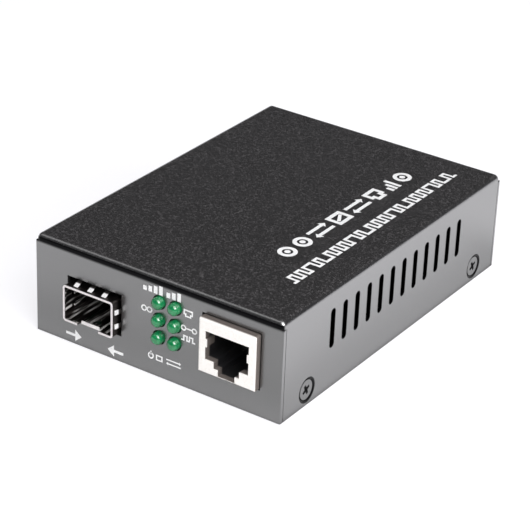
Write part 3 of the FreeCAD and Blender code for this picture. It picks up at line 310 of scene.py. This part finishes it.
def cloud_effect():
    """Slow, faint unevenness over a surface, between 0 and 1."""
    group, given, result = effect("cloud", {"Size mm": 20.0}, ["Shade"])
    place = group.nodes.new("ShaderNodeTexCoord")
    per_metre = group.nodes.new("ShaderNodeMath")
    per_metre.operation = "DIVIDE"
    per_metre.inputs[0].default_value = 1000.0
    group.links.new(given.outputs["Size mm"], per_metre.inputs[1])
    noise = group.nodes.new("ShaderNodeTexNoise")
    noise.inputs["Detail"].default_value = 2.0
    group.links.new(place.outputs["Object"], noise.inputs["Vector"])
    group.links.new(per_metre.outputs[0], noise.inputs["Scale"])
    group.links.new(noise.outputs["Fac"], result.inputs["Shade"])
    return group


GRAIN = grain_effect()
CLOUD = cloud_effect()
GRAIN_SHARE = 0.75       # how much of the second colour a full grain shows


def placed(material, group, **values):
    """Place an effect in a material with its own values."""
    node = shader(material, "ShaderNodeGroup")
    node.node_tree = group
    for name, value in values.items():
        node.inputs[name.replace("_", " ")].default_value = value
    return node.outputs


def finish_of(name, color, other, grain_mm, rarity, bump_mm, softness=0.1, cloudy=0.3, **surface):
    """Principled material whose colour runs from color to other with grain and cloud, and whose
    surface has a fine grain bump. Everything in surface is set straight on the shader."""
    material = bpy.data.materials.new(name)
    material.use_nodes = True
    bsdf = material.node_tree.nodes["Principled BSDF"]
    for label, value in surface.items():
        bsdf.inputs[label.replace("_", " ")].default_value = value
    grain = placed(material, GRAIN, Size_mm=grain_mm, Rarity=rarity, Softness=softness)
    faint_cloud = math_node(material, "MULTIPLY", placed(material, CLOUD)["Shade"], cloudy)
    blend = math_node(material, "MULTIPLY_ADD", grain["Grains"], GRAIN_SHARE, faint_cloud)
    mix = shader(material, "ShaderNodeMix")
    mix.data_type = "RGBA"
    mix.inputs[6].default_value = (*color, 1)
    mix.inputs[7].default_value = (*other, 1)
    link(material, blend, mix.inputs[0])
    link(material, mix.outputs[2], bsdf.inputs["Base Color"])
    bump = shader(material, "ShaderNodeBump", Strength=1.0, Distance=bump_mm * MM)
    link(material, grain["Height"], bump.inputs["Height"])
    link(material, bump.outputs["Normal"], bsdf.inputs["Normal"])
    return material


def dress(node, material, edge_mm=0.0):
    """Give a CAD node its finish, its flat faces clean shading, and slightly broken edges."""
    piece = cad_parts[node]
    piece.data.materials.clear()
    piece.data.materials.append(material)
    for face in piece.data.polygons:
        face.material_index = 0
        face.use_smooth = True
    weld = piece.modifiers.new("weld", "WELD")
    weld.merge_threshold = 1e-7
    flats = piece.modifiers.new("flats", "DECIMATE")
    flats.decimate_type = "DISSOLVE"
    flats.angle_limit = math.radians(0.5)
    if edge_mm:
        edge = piece.modifiers.new("edge", "BEVEL")
        edge.width = edge_mm * MM
        edge.segments = 2
        edge.limit_method = "ANGLE"
        edge.angle_limit = math.radians(50)
        edge.use_clamp_overlap = True
    shade = piece.modifiers.new("shade", "WEIGHTED_NORMAL")
    shade.keep_sharp = True


case_low, case_high = (Vector(corner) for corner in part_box("lid"))
powder_coat = finish_of("powder_coat", (0.021, 0.0198, 0.0202), (0.027, 0.0258, 0.0265),
                        grain_mm=0.5, rarity=0.5, softness=0.14, bump_mm=0.016,
                        Roughness=0.26, IOR=3.5)
SPECK_MM = 0.36
SPECK_RARITY, SPECK_SOFTNESS = 0.70, 0.30
SPECK_COLOR = (0.095, 0.090, 0.093)
CALM_DEPTH = 0.4 * MM    # below the top the specks are faint, after a short blend
CALM_BLEND = 0.3 * MM
CALM_COLOR = (0.016, 0.016, 0.017)
CALM_SHARE = 0.85
SIDE_SKIN = 1.05 * MM    # in from the outer face, just through the sheet
VENT_COUNT = 12
VENT_PITCH = 5.16 * MM
VENT_W = 1.7 * MM
VENT_LENGTH = 9.9 * MM
VENT_Z = 16.05 * MM
VENT_RIM = 0.17 * MM     # painted shade round each slot
SCREW_Y = 37.9 * MM
SCREW_Z = 4.25 * MM
SINK_R = 3.0 * MM
SINK_RIM = 0.24 * MM     # painted shade round each countersink
BEND_SHADE_IN = (0.7 * MM, 0.5 * MM)      # behind the front face: where it starts and is full
BEND_SHADE_LOW = (2.3 * MM, 1.7 * MM)     # below the top, at its lower edge
BEND_SHADE_HIGH = (0.65 * MM, 0.85 * MM)  # below the top, at its upper edge
PAINTED_SHADE_COLOR = (0.012, 0.012, 0.013)


def distance(material, across, along):
    """Distance made of two offsets at right angles."""
    squares = [math_node(material, "POWER", offset, 2.0) for offset in (across, along)]
    return math_node(material, "SQRT", math_node(material, "ADD", *squares))


def paint_rim_shade(material):
    """Painted shade: dark edges round the vent slots and in the countersinks of both sides."""
    x, y, z = object_place(material)
    from_middle = math_node(material, "ABSOLUTE", y)
    side = math_node(material, "GREATER_THAN", math_node(material, "ABSOLUTE", x),
                     case_high.x - SIDE_SKIN)
    in_row = math_node(material, "LESS_THAN", from_middle, VENT_PITCH * VENT_COUNT / 2)
    across = math_node(material, "SUBTRACT", VENT_PITCH / 2,
                       math_node(material, "PINGPONG", y, VENT_PITCH / 2))
    upright = math_node(material, "ABSOLUTE", math_node(material, "SUBTRACT", z, VENT_Z))
    past = math_node(material, "MAXIMUM",
                     math_node(material, "SUBTRACT", upright, (VENT_LENGTH - VENT_W) / 2), 0.0)
    vent = math_node(material, "LESS_THAN", distance(material, across, past),
                     VENT_W / 2 + VENT_RIM)
    vent = math_node(material, "MULTIPLY", vent, in_row)
    screw_y = math_node(material, "SUBTRACT", from_middle, SCREW_Y)
    screw_z = math_node(material, "SUBTRACT", z, SCREW_Z)
    sink = math_node(material, "LESS_THAN", distance(material, screw_y, screw_z),
                     SINK_R + SINK_RIM)
    return math_node(material, "MULTIPLY", side, math_node(material, "MAXIMUM", vent, sink))


def tint(material, mask, color):
    """Mix a colour into a material's base colour by a mask."""
    base = material.node_tree.nodes["Principled BSDF"].inputs["Base Color"]
    mix = shader(material, "ShaderNodeMix")
    mix.data_type = "RGBA"
    mix.inputs[7].default_value = (*color, 1)
    link(material, mask, mix.inputs[0])
    link(material, base.links[0].from_socket, mix.inputs[6])
    link(material, mix.outputs[2], base)


def ramp_along(material, axis, start, end, share=1.0):
    """Mask that rises from 0 to share between two places along X, Y or Z."""
    ramp = shader(material, "ShaderNodeMapRange", From_Min=start, From_Max=end, To_Max=share)
    link(material, object_place(material)[axis], ramp.inputs["Value"])
    return ramp.outputs[0]


def bend_shade(material):
    """Painted shade: a dark stripe over the lower half of the front bend and the front face just under
    it.
    """
    behind = ramp_along(material, "Y", *(case_low.y + depth for depth in BEND_SHADE_IN))
    above = ramp_along(material, "Z", *(case_high.z - depth for depth in BEND_SHADE_LOW))
    below = ramp_along(material, "Z", *(case_high.z - depth for depth in BEND_SHADE_HIGH))
    return math_node(material, "MULTIPLY", behind, math_node(material, "MULTIPLY", above, below))


speckle = placed(powder_coat, GRAIN, Size_mm=SPECK_MM, Rarity=SPECK_RARITY, Softness=SPECK_SOFTNESS)
tint(powder_coat, speckle["Specks"], SPECK_COLOR)
calm_z = case_high.z - CALM_DEPTH
tint(powder_coat, ramp_along(powder_coat, "Z", calm_z + CALM_BLEND, calm_z, CALM_SHARE), CALM_COLOR)
# Painted shade: near-black, metallic rims at the slots and countersinks, and a stripe at the front
# bend.
painted_shade_mask = math_node(powder_coat, "MAXIMUM", paint_rim_shade(powder_coat), bend_shade(powder_coat))
tint(powder_coat, painted_shade_mask, PAINTED_SHADE_COLOR)
link(powder_coat, painted_shade_mask, powder_coat.node_tree.nodes["Principled BSDF"].inputs["Metallic"])
dress("lid", powder_coat, edge_mm=0.10)
dress("base_plate", powder_coat, edge_mm=0.08)

# ---------------------------------------------------------------- case screws
# Four M3 countersunk screws with a cross recess, blackened steel, driven through the lid's sides
# into the base plate's flanges.
black_oxide = finish_of("black_oxide", (0.018, 0.018, 0.019), (0.06, 0.06, 0.06), grain_mm=0.4,
                        rarity=0.5, bump_mm=0.004, Roughness=0.36, IOR=3.2)
# Painted shade: a darker, duller copy of the blackened steel for the cross recess.
recess_shade = finish_of("recess_shade", (0.004, 0.004, 0.005), (0.012, 0.012, 0.012), grain_mm=0.3,
                         rarity=0.5, bump_mm=0.004, Roughness=0.7, IOR=1.35)
SCREW_HEAD_R = 2.5 * MM
SCREW_THREAD_R = 1.5 * MM
SCREW_LENGTH = 3.0 * MM  # head and thread together
HEAD_STEPS = 48
SCREW_SUNK = 0.20 * MM   # head below the lid's face
SCREW_REACH = 1.35 * MM  # half the width of the cross
SCREW_ARM = 0.42 * MM    # half the width of an arm
ARM_TAPER = 0.8          # width of an arm's end, as a share of its root
RECESS_DEPTH = 0.7 * MM
RECESS_DRAFT = 0.75      # size of the recess's bottom, as a share of its mouth
SCREW_TURN = 27.0        # degrees that the cross is turned from upright


def of_kind(geom, kind):
    """The vertices, edges or faces among an operator's results."""
    return [item for item in geom if isinstance(item, kind)]


def screw_head(form, side, middle_y):
    """Countersunk screw whose head faces along X on the given side, 1 or -1."""
    bmesh.ops.create_circle(form, segments=HEAD_STEPS, radius=SCREW_HEAD_R)
    ring_edges = form.edges[:]
    arm, reach = SCREW_ARM, SCREW_REACH
    points = []
    for step in range(4):
        turn = Matrix.Rotation(math.pi / 2 * step, 4, "Z")
        points += [turn @ Vector((reach, -arm * ARM_TAPER, 0)),
                   turn @ Vector((reach, arm * ARM_TAPER, 0)),
                   turn @ Vector((arm, arm, 0))]
    cross = [form.verts.new(point) for point in points]
    cross_edges = [form.edges.new(pair) for pair in zip(cross, cross[1:] + cross[:1])]
    bmesh.ops.rotate(form, verts=cross, cent=(0, 0, 0),
                     matrix=Matrix.Rotation(math.radians(SCREW_TURN), 3, "Z"))
    bmesh.ops.triangle_fill(form, use_beauty=True, use_dissolve=False,
                            edges=ring_edges + cross_edges)
    deep = bmesh.ops.extrude_edge_only(form, edges=cross_edges)["geom"]
    floor_verts = of_kind(deep, bmesh.types.BMVert)
    bmesh.ops.scale(form, verts=floor_verts, vec=(RECESS_DRAFT, RECESS_DRAFT, 1))
    bmesh.ops.translate(form, verts=floor_verts, vec=(0, 0, -RECESS_DEPTH))
    floor_edges = of_kind(deep, bmesh.types.BMEdge)
    bottom = bmesh.ops.contextual_create(form, geom=floor_edges)["faces"]
    for face in of_kind(deep, bmesh.types.BMFace) + bottom:
        face.material_index = 1
    rim_edges = ring_edges
    for depth in (SCREW_HEAD_R - SCREW_THREAD_R, SCREW_LENGTH):
        grown = bmesh.ops.extrude_edge_only(form, edges=rim_edges)["geom"]
        rim_edges = of_kind(grown, bmesh.types.BMEdge)
        for vert in of_kind(grown, bmesh.types.BMVert):
            level = vert.co.xy.normalized() * SCREW_THREAD_R
            vert.co = (level.x, level.y, -depth)
    bmesh.ops.contextual_create(form, geom=rim_edges)
    out, up = Vector((side, 0, 0)), Vector((0, 0, 1))
    lay = Matrix((up.cross(out), up, out)).transposed().to_4x4()
    face_at = Vector((side * (case_high.x - SCREW_SUNK), middle_y, SCREW_Z))
    bmesh.ops.transform(form, verts=form.verts, matrix=Matrix.Translation(face_at) @ lay)


screws = bmesh.new()
for side in (1, -1):
    for middle_y in (-SCREW_Y, SCREW_Y):
        single = bmesh.new()
        screw_head(single, side, middle_y)
        single_mesh = bpy.data.meshes.new("single_screw")
        single.to_mesh(single_mesh)
        single.free()
        screws.from_mesh(single_mesh)
        bpy.data.meshes.remove(single_mesh)
case_screws = made("case_screws", screws, black_oxide, recess_shade)
head_edge = case_screws.modifiers.new("edge", "BEVEL")
head_edge.width = 0.08 * MM
head_edge.segments = 2
head_edge.limit_method = "ANGLE"
head_edge.angle_limit = math.radians(35)
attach(case_screws, "root")
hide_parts("side_screws")

# ---------------------------------------------------------------- printed marks
# White screen print on the top and round the ports: plain signs for fibre, copper, direction and
# pulses, drawn flat in millimetres and then laid on the case as a film of ink.
INK_T = 0.012            # above the coating, in mm like every size of a mark
INK_SUNK = 0.010         # below it, so that no gap shows
ARROW_HEAD = 0.62        # length of an arrow's head, as a share of its height


def plate_mark(form, points):
    """Filled outline."""
    face = form.faces.new([form.verts.new((u, v, 0)) for u, v in points])
    face.normal_update()
    return face


def hollow(form, face, stroke):
    """Keep only the rim of a filled outline, as wide as the stroke."""
    bmesh.ops.inset_region(form, faces=[face], thickness=stroke, use_boundary=True,
                           use_even_offset=True)
    bmesh.ops.delete(form, geom=[face], context="FACES")


def bar_mark(form, u, v, width, height, turn=0.0):
    """Filled bar round the middle (u, v), turned by an angle in degrees."""
    angle = math.radians(turn)
    half_w, half_h = width / 2, height / 2
    corners = [(-half_w, -half_h), (half_w, -half_h), (half_w, half_h), (-half_w, half_h)]
    return plate_mark(form, [(u + x * math.cos(angle) - y * math.sin(angle),
                              v + x * math.sin(angle) + y * math.cos(angle)) for x, y in corners])


def dot_mark(form, u, v, radius):
    """Filled round dot."""
    made_dot = bmesh.ops.create_circle(form, cap_ends=True, segments=32, radius=radius,
                                       matrix=Matrix.Translation((u, v, 0)))
    return made_dot["verts"][0].link_faces[0]


def arrow_mark(form, u, v, length, height, stroke, way):
    """Arrow centred on (u, v) that points along way, 1 or -1."""
    head, half = height * ARROW_HEAD, length / 2
    points = [(-half, -stroke / 2), (half - head, -stroke / 2), (half - head, -height / 2), (half, 0),
              (half - head, height / 2), (half - head, stroke / 2), (-half, stroke / 2)]
    if way < 0:
        points = [(-x, y) for x, y in reversed(points)]
    plate_mark(form, [(u + x, v + y) for x, y in points])


def pulse_mark(form, start, v, height, widths, stroke):
    """Train of square pulses: widths gives each level's length, low and high in turn."""
    upper, lower = [(start, v + stroke)], [(start, v)]
    u, high = start, False
    for width in widths[:-1]:
        u += width
        rise, fall = (v, v + height - stroke)[high], (v + height - stroke, v)[high]
        lean = stroke / 2 if not high else -stroke / 2
        upper += [(u - lean, rise + stroke), (u - lean, fall + stroke)]
        lower += [(u + lean, rise), (u + lean, fall)]
        high = not high
    u += widths[-1]
    level = v + height - stroke if high else v
    plate_mark(form, upper + [(u, level + stroke), (u, level)] + lower[::-1])


def socket_mark(form, u, v, width, height, stroke):
    """Outline of a stepped network socket round the middle (u, v)."""
    half, step = width / 2, width * 0.17
    low, notch = v - height / 2, v - height * 0.22
    points = [(-half, notch), (-half + step, notch), (-half + step, low), (half - step, low),
              (half - step, notch), (half, notch), (half, v + height / 2), (-half, v + height / 2)]
    hollow(form, plate_mark(form, [(u + x, y) for x, y in points]), stroke)


def print_on_case(name, form, origin, reading, tops):
    """Give flat marks their ink film and lay them on the case."""
    grown = bmesh.ops.extrude_face_region(form, geom=form.faces[:])["geom"]
    bmesh.ops.translate(form, verts=of_kind(grown, bmesh.types.BMVert), vec=(0, 0, INK_SUNK + INK_T))
    out = reading.cross(tops)
    lay = Matrix((reading, tops, out)).transposed().to_4x4()
    sunk = Matrix.Translation(origin - out * INK_SUNK * MM)
    bmesh.ops.transform(form, verts=form.verts, matrix=sunk @ lay @ Matrix.Scale(MM, 4))
    piece = made(name, form, white_ink)
    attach(piece, "root")


white_ink = finish_of("white_ink", (0.86, 0.86, 0.87), (0.78, 0.78, 0.79), grain_mm=0.3,
                      rarity=0.5, bump_mm=0.003, Roughness=0.5, IOR=1.45)

# Top: a row of signs from fibre to copper, and a train of pulses nearer the edge.
SIGN_H, SIGN_STROKE, SIGN_GAP = 4.8, 1.05, 1.5
RING_CORE_R = 0.75
SIGNS_AT = (16.5, 5.7)   # middle of the row, across and along the top


def ring_sign(form, u, width):
    """Fibre end: a ring with its core."""
    hollow(form, dot_mark(form, u, 0, width / 2), SIGN_STROKE)
    dot_mark(form, u, 0, RING_CORE_R)


def arrows_sign(form, u, width):
    """Traffic both ways."""
    arrow_mark(form, u, SIGN_H * 0.27, width, SIGN_H * 0.5, SIGN_STROKE * 0.9, 1)
    arrow_mark(form, u, -SIGN_H * 0.27, width, SIGN_H * 0.5, SIGN_STROKE * 0.9, -1)


def box_sign(form, u, width):
    """Converter: a box with a slanting bar."""
    hollow(form, bar_mark(form, u, 0, width, SIGN_H), SIGN_STROKE)
    bar_mark(form, u, 0, width * 0.62, SIGN_STROKE * 0.8, 28)


def socket_sign(form, u, width):
    """Copper socket."""
    socket_mark(form, u, 0, width, SIGN_H, SIGN_STROKE)


def bars_sign(form, u, width):
    """Three rising bars."""
    for step in range(3):
        bar_h = SIGN_H * (0.44 + 0.28 * step)
        bar_mark(form, u + (step - 1) * width / 3, (bar_h - SIGN_H) / 2, width / 3 - 0.55, bar_h)


signs = bmesh.new()
row = ((ring_sign, 4.8), (ring_sign, 4.8), (arrows_sign, 7.6), (box_sign, 5.8), (arrows_sign, 7.6),
       (socket_sign, 5.4), (bars_sign, 4.6), (ring_sign, 4.8))
row_length = sum(width for _, width in row) + SIGN_GAP * (len(row) - 1)
cursor = -row_length / 2
for sign, width in row:
    sign(signs, cursor + width / 2, width)
    cursor += width + SIGN_GAP
print_on_case("top_signs", signs, Vector((SIGNS_AT[0] * MM, SIGNS_AT[1] * MM, case_high.z)),
              Vector((0, 1, 0)), Vector((-1, 0, 0)))

pulses = bmesh.new()
PULSE_H, PULSE_STROKE = 3.5, 0.72
PULSES_AT = (25.0, 4.6)
PULSE_WIDTHS = (1.5, 1.5, 1.5, 1.5, 1.5, 2.9, 1.5, 1.5, 2.9, 1.5)
train = PULSE_WIDTHS * 4 + PULSE_WIDTHS[:1]
pulse_mark(pulses, -sum(train) / 2, -PULSE_H / 2, PULSE_H, train, PULSE_STROKE)
print_on_case("top_pulses", pulses, Vector((PULSES_AT[0] * MM, PULSES_AT[1] * MM, case_high.z)),
              Vector((0, 1, 0)), Vector((-1, 0, 0)))

# Front: rising bars over the lamps, and rings, links and arrows beside and below them.
legend = bmesh.new()
RING_STROKE, LINE_STROKE = 0.34, 0.36
BAR_W, BAR_STEP, BAR_RISE = 1.0, 1.5, 0.4
for first_u, foot, first_height, count in ((-2.9, 21.7, 1.1, 4), (3.7, 21.8, 1.3, 3)):
    for index in range(count):
        bar_height = first_height + BAR_RISE * index
        bar_mark(legend, first_u + BAR_STEP * index, foot + bar_height / 2, BAR_W, bar_height)
for u, v, radius in ((-3.1, 17.0, 0.8), (-1.55, 17.0, 0.8), (8.1, 15.7, 0.75), (11.1, 15.7, 0.75),
                     (-1.0, 5.2, 0.85)):
    hollow(legend, dot_mark(legend, u, v, radius), RING_STROKE)
socket_mark(legend, 9.3, 19.6, 2.6, 1.9, LINE_STROKE)
bar_mark(legend, 9.6, 15.7, 1.5, LINE_STROKE)
pulse_mark(legend, 7.5, 12.4, 1.5, (0.7, 0.9, 0.7, 0.9, 0.7), LINE_STROKE)
bar_mark(legend, -1.0, 5.9, RING_STROKE, 1.0)
hollow(legend, bar_mark(legend, 1.4, 5.2, 1.9, 1.5), RING_STROKE)
for v, way in ((5.75, 1), (4.75, -1)):
    arrow_mark(legend, 5.5, v, 4.2, 0.85, 0.32, way)
for u, v, way in ((-23.7, 2.6, 1), (-11.3, 2.45, -1)):
    arrow_mark(legend, u, v, 4.6, 3.0, 0.7, way)
print_on_case("front_signs", legend, Vector((0, case_low.y, 0)), Vector((1, 0, 0)),
              Vector((0, 0, 1)))

# ---------------------------------------------------------------- module cage
# The cage and its spring collar are folded from thin spring steel, nickel plated. The cut rim and
# the tongue's tip keep the bright nickel; behind them the sheet and the collar's fingers get painted
# shade, and the inner faces get paler streaks painted as glints.
CAGE_SHEET = 0.3 * MM
TONGUE_HALF_W = 2.65 * MM
TONGUE_TOP = 8.7 * MM
TONGUE_TIP = 1.4 * MM                  # how far behind the rim the bright tip reaches
RIM_FADE = (0.05 * MM, 0.20 * MM)      # behind the rim: where the painted shade starts and is full
STREAK_FADE = (0.20 * MM, 0.40 * MM)   # behind the rim: where the streaks start and are full
STREAK_STRETCH = 0.08                  # along the cage, against across it
SPRING_FADE = (1.0 * MM, 0.7 * MM)     # in front of the case: where the collar's painted shade starts and is full
cage_low, cage_high = (Vector(corner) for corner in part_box("sfp_cage"))
cage_middle = (cage_low + cage_high) / 2
cage_nickel = finish_of("cage_nickel", (0.80, 0.76, 0.77), (0.70, 0.67, 0.68), grain_mm=0.6,
                        rarity=0.55, bump_mm=0.003, Roughness=0.30)


def off_cage_middle(material, x):
    """Distance across the cage from its middle."""
    return math_node(material, "ABSOLUTE", math_node(material, "SUBTRACT", x, cage_middle.x))


def cage_painted_shade(material):
    """Painted shade: darker sheet behind the cut rim, apart from the tongue's tip."""
    x, y, z = object_place(material)
    tongue = math_node(material, "LESS_THAN", off_cage_middle(material, x), TONGUE_HALF_W)
    low = math_node(material, "LESS_THAN", z, TONGUE_TOP)
    near = math_node(material, "LESS_THAN", y, cage_low.y + TONGUE_TIP)
    tip = math_node(material, "MULTIPLY", math_node(material, "MULTIPLY", tongue, low), near)
    behind = ramp_along(material, "Y", *(cage_low.y + depth for depth in RIM_FADE))
    return math_node(material, "MULTIPLY", behind, math_node(material, "SUBTRACT", 1.0, tip))


def cage_painted_glints(material):
    """Painted glints: paler streaks along the sheet on the inner faces, behind the rim."""
    x, _, z = object_place(material)
    half_w = (cage_high.x - cage_low.x - CAGE_SHEET) / 2
    within = math_node(material, "LESS_THAN", off_cage_middle(material, x), half_w)
    under = math_node(material, "LESS_THAN", z, cage_high.z - CAGE_SHEET / 2)
    inner = math_node(material, "MULTIPLY", within, under)
    stretch = shader(material, "ShaderNodeMapping", Scale=(1, STREAK_STRETCH, 1))
    link(material, shader(material, "ShaderNodeTexCoord").outputs["Object"],
         stretch.inputs["Vector"])
    streaks = shader(material, "ShaderNodeTexNoise", Scale=1100.0, Detail=2.0)
    link(material, stretch.outputs[0], streaks.inputs["Vector"])
    shown = shader(material, "ShaderNodeMapRange", From_Min=0.5, From_Max=0.62)
    link(material, streaks.outputs["Fac"], shown.inputs["Value"])
    behind = ramp_along(material, "Y", *(cage_low.y + depth for depth in STREAK_FADE))
    return math_node(material, "MULTIPLY", math_node(material, "MULTIPLY", inner, behind),
                     shown.outputs[0])


# Painted shade: dark sheet behind the rim.
cage_shade_mask = cage_painted_shade(cage_nickel)
tint(cage_nickel, cage_shade_mask, (0.12, 0.105, 0.10))
# Painted glints: paler streaks on the inner faces.
cage_glint_mask = cage_painted_glints(cage_nickel)
tint(cage_nickel, cage_glint_mask, (0.85, 0.83, 0.81))
cage_metal = math_node(cage_nickel, "MULTIPLY_ADD", cage_shade_mask, 0.7, 0.3)
cage_metal = math_node(cage_nickel, "MULTIPLY_ADD", cage_glint_mask, -0.6, cage_metal)
link(cage_nickel, cage_metal, cage_nickel.node_tree.nodes["Principled BSDF"].inputs["Metallic"])

spring_nickel = finish_of("spring_nickel", (0.95, 0.94, 0.95), (0.82, 0.81, 0.82), grain_mm=0.6,
                          rarity=0.55, bump_mm=0.003, Roughness=0.30)
# Painted shade: the collar's fingers darken towards the case.
spring_shade_mask = ramp_along(spring_nickel, "Y", *(case_low.y - reach for reach in SPRING_FADE))
tint(spring_nickel, spring_shade_mask, (0.10, 0.09, 0.085))
spring_metal = math_node(spring_nickel, "MULTIPLY_ADD", spring_shade_mask, 0.75, 0.25)
link(spring_nickel, spring_metal, spring_nickel.node_tree.nodes["Principled BSDF"].inputs["Metallic"])
dress("sfp_cage", cage_nickel, edge_mm=0.04)
dress("sfp_spring_collar", spring_nickel, edge_mm=0.03)
black_moulding = finish_of("black_moulding", (0.012, 0.012, 0.013), (0.03, 0.03, 0.03), grain_mm=0.25,
                           rarity=0.5, bump_mm=0.006, Roughness=0.45, IOR=1.5)
dress("sfp_connector", black_moulding, edge_mm=0.05)
gold_plate = finish_of("gold_plate", (0.83, 0.58, 0.22), (0.70, 0.46, 0.16), grain_mm=0.3,
                       rarity=0.5, bump_mm=0.002, Roughness=0.22, Metallic=1.0)
dress("sfp_connector_contacts", gold_plate)

# ---------------------------------------------------------------- network jack
# A black housing with a greyish-brown sheen painted on its nose, and an ivory bezel pushed over it:
# rounded face, stepped plug opening and two hooks, with painted shade on its flanks. A black contact
# carrier fills its back, and eight gold-plated wires lean forward.
FLANK_FADE = (0.10 * MM, 0.45 * MM)    # behind the bezel's face: where the painted shade on its flanks starts and is full
NOSE_FADE = (-0.1 * MM, 0.2 * MM)      # behind the case's front face: where the painted sheen gives way to black
FLANK_SHADE_COLOR = (0.12, 0.102, 0.093)
JACK_BLACK = (0.012, 0.012, 0.013)
bezel_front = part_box("rj45_bezel")[0][1]
ivory_moulding = finish_of("ivory_moulding", (0.90, 0.87, 0.85), (0.85, 0.82, 0.79), grain_mm=0.5,
                           rarity=0.5, bump_mm=0.004, Roughness=0.38, IOR=1.5)
# Painted shade: the bezel's flanks darken behind its face.
tint(ivory_moulding, ramp_along(ivory_moulding, "Y", *(bezel_front + depth for depth in FLANK_FADE)),
     FLANK_SHADE_COLOR)
dress("rj45_bezel", ivory_moulding, edge_mm=0.2)
jack_moulding = finish_of("jack_moulding", (0.11, 0.094, 0.086), (0.15, 0.13, 0.12), grain_mm=0.25,
                          rarity=0.5, bump_mm=0.006, Roughness=0.45, IOR=1.5)
# Painted sheen: greyish brown on the housing's nose in front of the case; its own black behind.
tint(jack_moulding, ramp_along(jack_moulding, "Y", *(case_low.y + depth for depth in NOSE_FADE)),
     JACK_BLACK)
dress("rj45_housing", jack_moulding, edge_mm=0.08)
dress("rj45_insert", black_moulding, edge_mm=0.08)
dress("rj45_contacts", gold_plate)

# ---------------------------------------------------------------- indicator lamps
# Six 3 mm lamps cast in green-tinted epoxy, with a domed tip and a flange that bears on the back
# of a black holder.
LENS_R = 1.55 * MM
LENS_FLANGE_T = 1.0 * MM
DOME_STEPS = 14
LENS_STEPS = 48
FLAT_FROM = 0.01 * MM    # faces from this far in front of the flange back stay flat


def lens(name, node, material):
    """Round lens turned about the axis of the lamp that it stands for."""
    low, high = (Vector(corner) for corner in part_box(node))
    axis = (low + high) / 2
    flange_r, flange_front = (high.x - low.x) / 2, high.y - LENS_FLANGE_T
    turns = [math.pi / 2 * step / DOME_STEPS for step in range(DOME_STEPS + 1)]
    dome = [(LENS_R * math.sin(turn), low.y + LENS_R * (1 - math.cos(turn))) for turn in turns]
    profile = dome + [(LENS_R, flange_front), (flange_r, flange_front), (flange_r, high.y), (0, high.y)]
    form = bmesh.new()
    verts = [form.verts.new((axis.x + radius, y, axis.z)) for radius, y in profile]
    edges = [form.edges.new(pair) for pair in zip(verts, verts[1:])]
    bmesh.ops.spin(form, geom=verts + edges, cent=(axis.x, 0, axis.z), axis=(0, 1, 0),
                   angle=2 * math.pi, steps=LENS_STEPS, use_merge=True)
    bmesh.ops.remove_doubles(form, verts=form.verts, dist=1e-7)
    piece = made(name, form, material)
    for face in piece.data.polygons:
        face.use_smooth = face.center.y < flange_front - FLAT_FROM
    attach(piece, "root")
    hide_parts(node)


tinted_epoxy = finish_of("tinted_epoxy", (0.004, 0.17, 0.052), (0.008, 0.24, 0.08), grain_mm=2.0,
                         rarity=0.45, bump_mm=0.0, Roughness=0.12, IOR=2.0,
                         Transmission_Weight=0.15)
for number in range(1, 7):
    lens(f"lamp_lens_{number}", f"led_{number}", tinted_epoxy)
dress("led_holder", black_moulding, edge_mm=0.08)
tinned = finish_of("tinned", (0.66, 0.66, 0.67), (0.50, 0.50, 0.51), grain_mm=0.4,
                   rarity=0.5, bump_mm=0.003, Roughness=0.28, Metallic=1.0)
dress("led_leads", tinned)

# ---------------------------------------------------------------- power inlet
# Barrel socket moulded in black, with a tinned centre pin and three solder tabs.
dress("dc_jack_housing", black_moulding, edge_mm=0.08)
dress("dc_jack_pin", tinned)
dress("dc_jack_contacts", tinned)

# ---------------------------------------------------------------- board and its fixing
# Glass-epoxy board under dark green solder mask, screwed to four zinc-plated pillars that stand
# on the base plate.
solder_mask = finish_of("solder_mask", (0.003, 0.009, 0.006), (0.005, 0.015, 0.009), grain_mm=0.7,
                        rarity=0.5, bump_mm=0.004, Roughness=0.30, IOR=1.5)
dress("circuit_board", solder_mask)
zinc_plate = finish_of("zinc_plate", (0.62, 0.62, 0.64), (0.45, 0.45, 0.47), grain_mm=0.5,
                       rarity=0.5, bump_mm=0.003, Roughness=0.30, Metallic=1.0)
dress("board_standoffs", zinc_plate)
dress("board_screws", zinc_plate)

# ---------------------------------------------------------------- board components
# Moulded chips with tinned pins, a shielded choke, a rectifier, two sleeved supply capacitors
# and the small chip capacitors and resistors round them.
chip_epoxy = finish_of("chip_epoxy", (0.022, 0.022, 0.024), (0.045, 0.045, 0.047), grain_mm=0.15,
                       rarity=0.5, bump_mm=0.006, Roughness=0.55, IOR=1.5)
for node in ("converter_chip", "memory_chip", "regulator_chip", "network_transformer",
             "input_diode", "chip_resistors"):
    dress(node, chip_epoxy)
for node in ("converter_chip_pins", "memory_chip_pins", "regulator_chip_pins",
             "transformer_pins", "clock_crystal"):
    dress(node, tinned)
ferrite = finish_of("ferrite", (0.06, 0.06, 0.065), (0.10, 0.10, 0.10), grain_mm=0.2,
                    rarity=0.5, bump_mm=0.01, Roughness=0.6, IOR=1.5)
dress("power_inductor", ferrite)
shrink_sleeve = finish_of("shrink_sleeve", (0.012, 0.014, 0.05), (0.02, 0.022, 0.07), grain_mm=1.0,
                          rarity=0.5, bump_mm=0.004, Roughness=0.25, IOR=1.5)
for number in (1, 2):
    dress(f"supply_capacitor_{number}", shrink_sleeve)
fired_ceramic = finish_of("fired_ceramic", (0.45, 0.33, 0.20), (0.38, 0.27, 0.16), grain_mm=0.2,
                          rarity=0.5, bump_mm=0.004, Roughness=0.5, IOR=1.5)
dress("chip_capacitors", fired_ceramic)
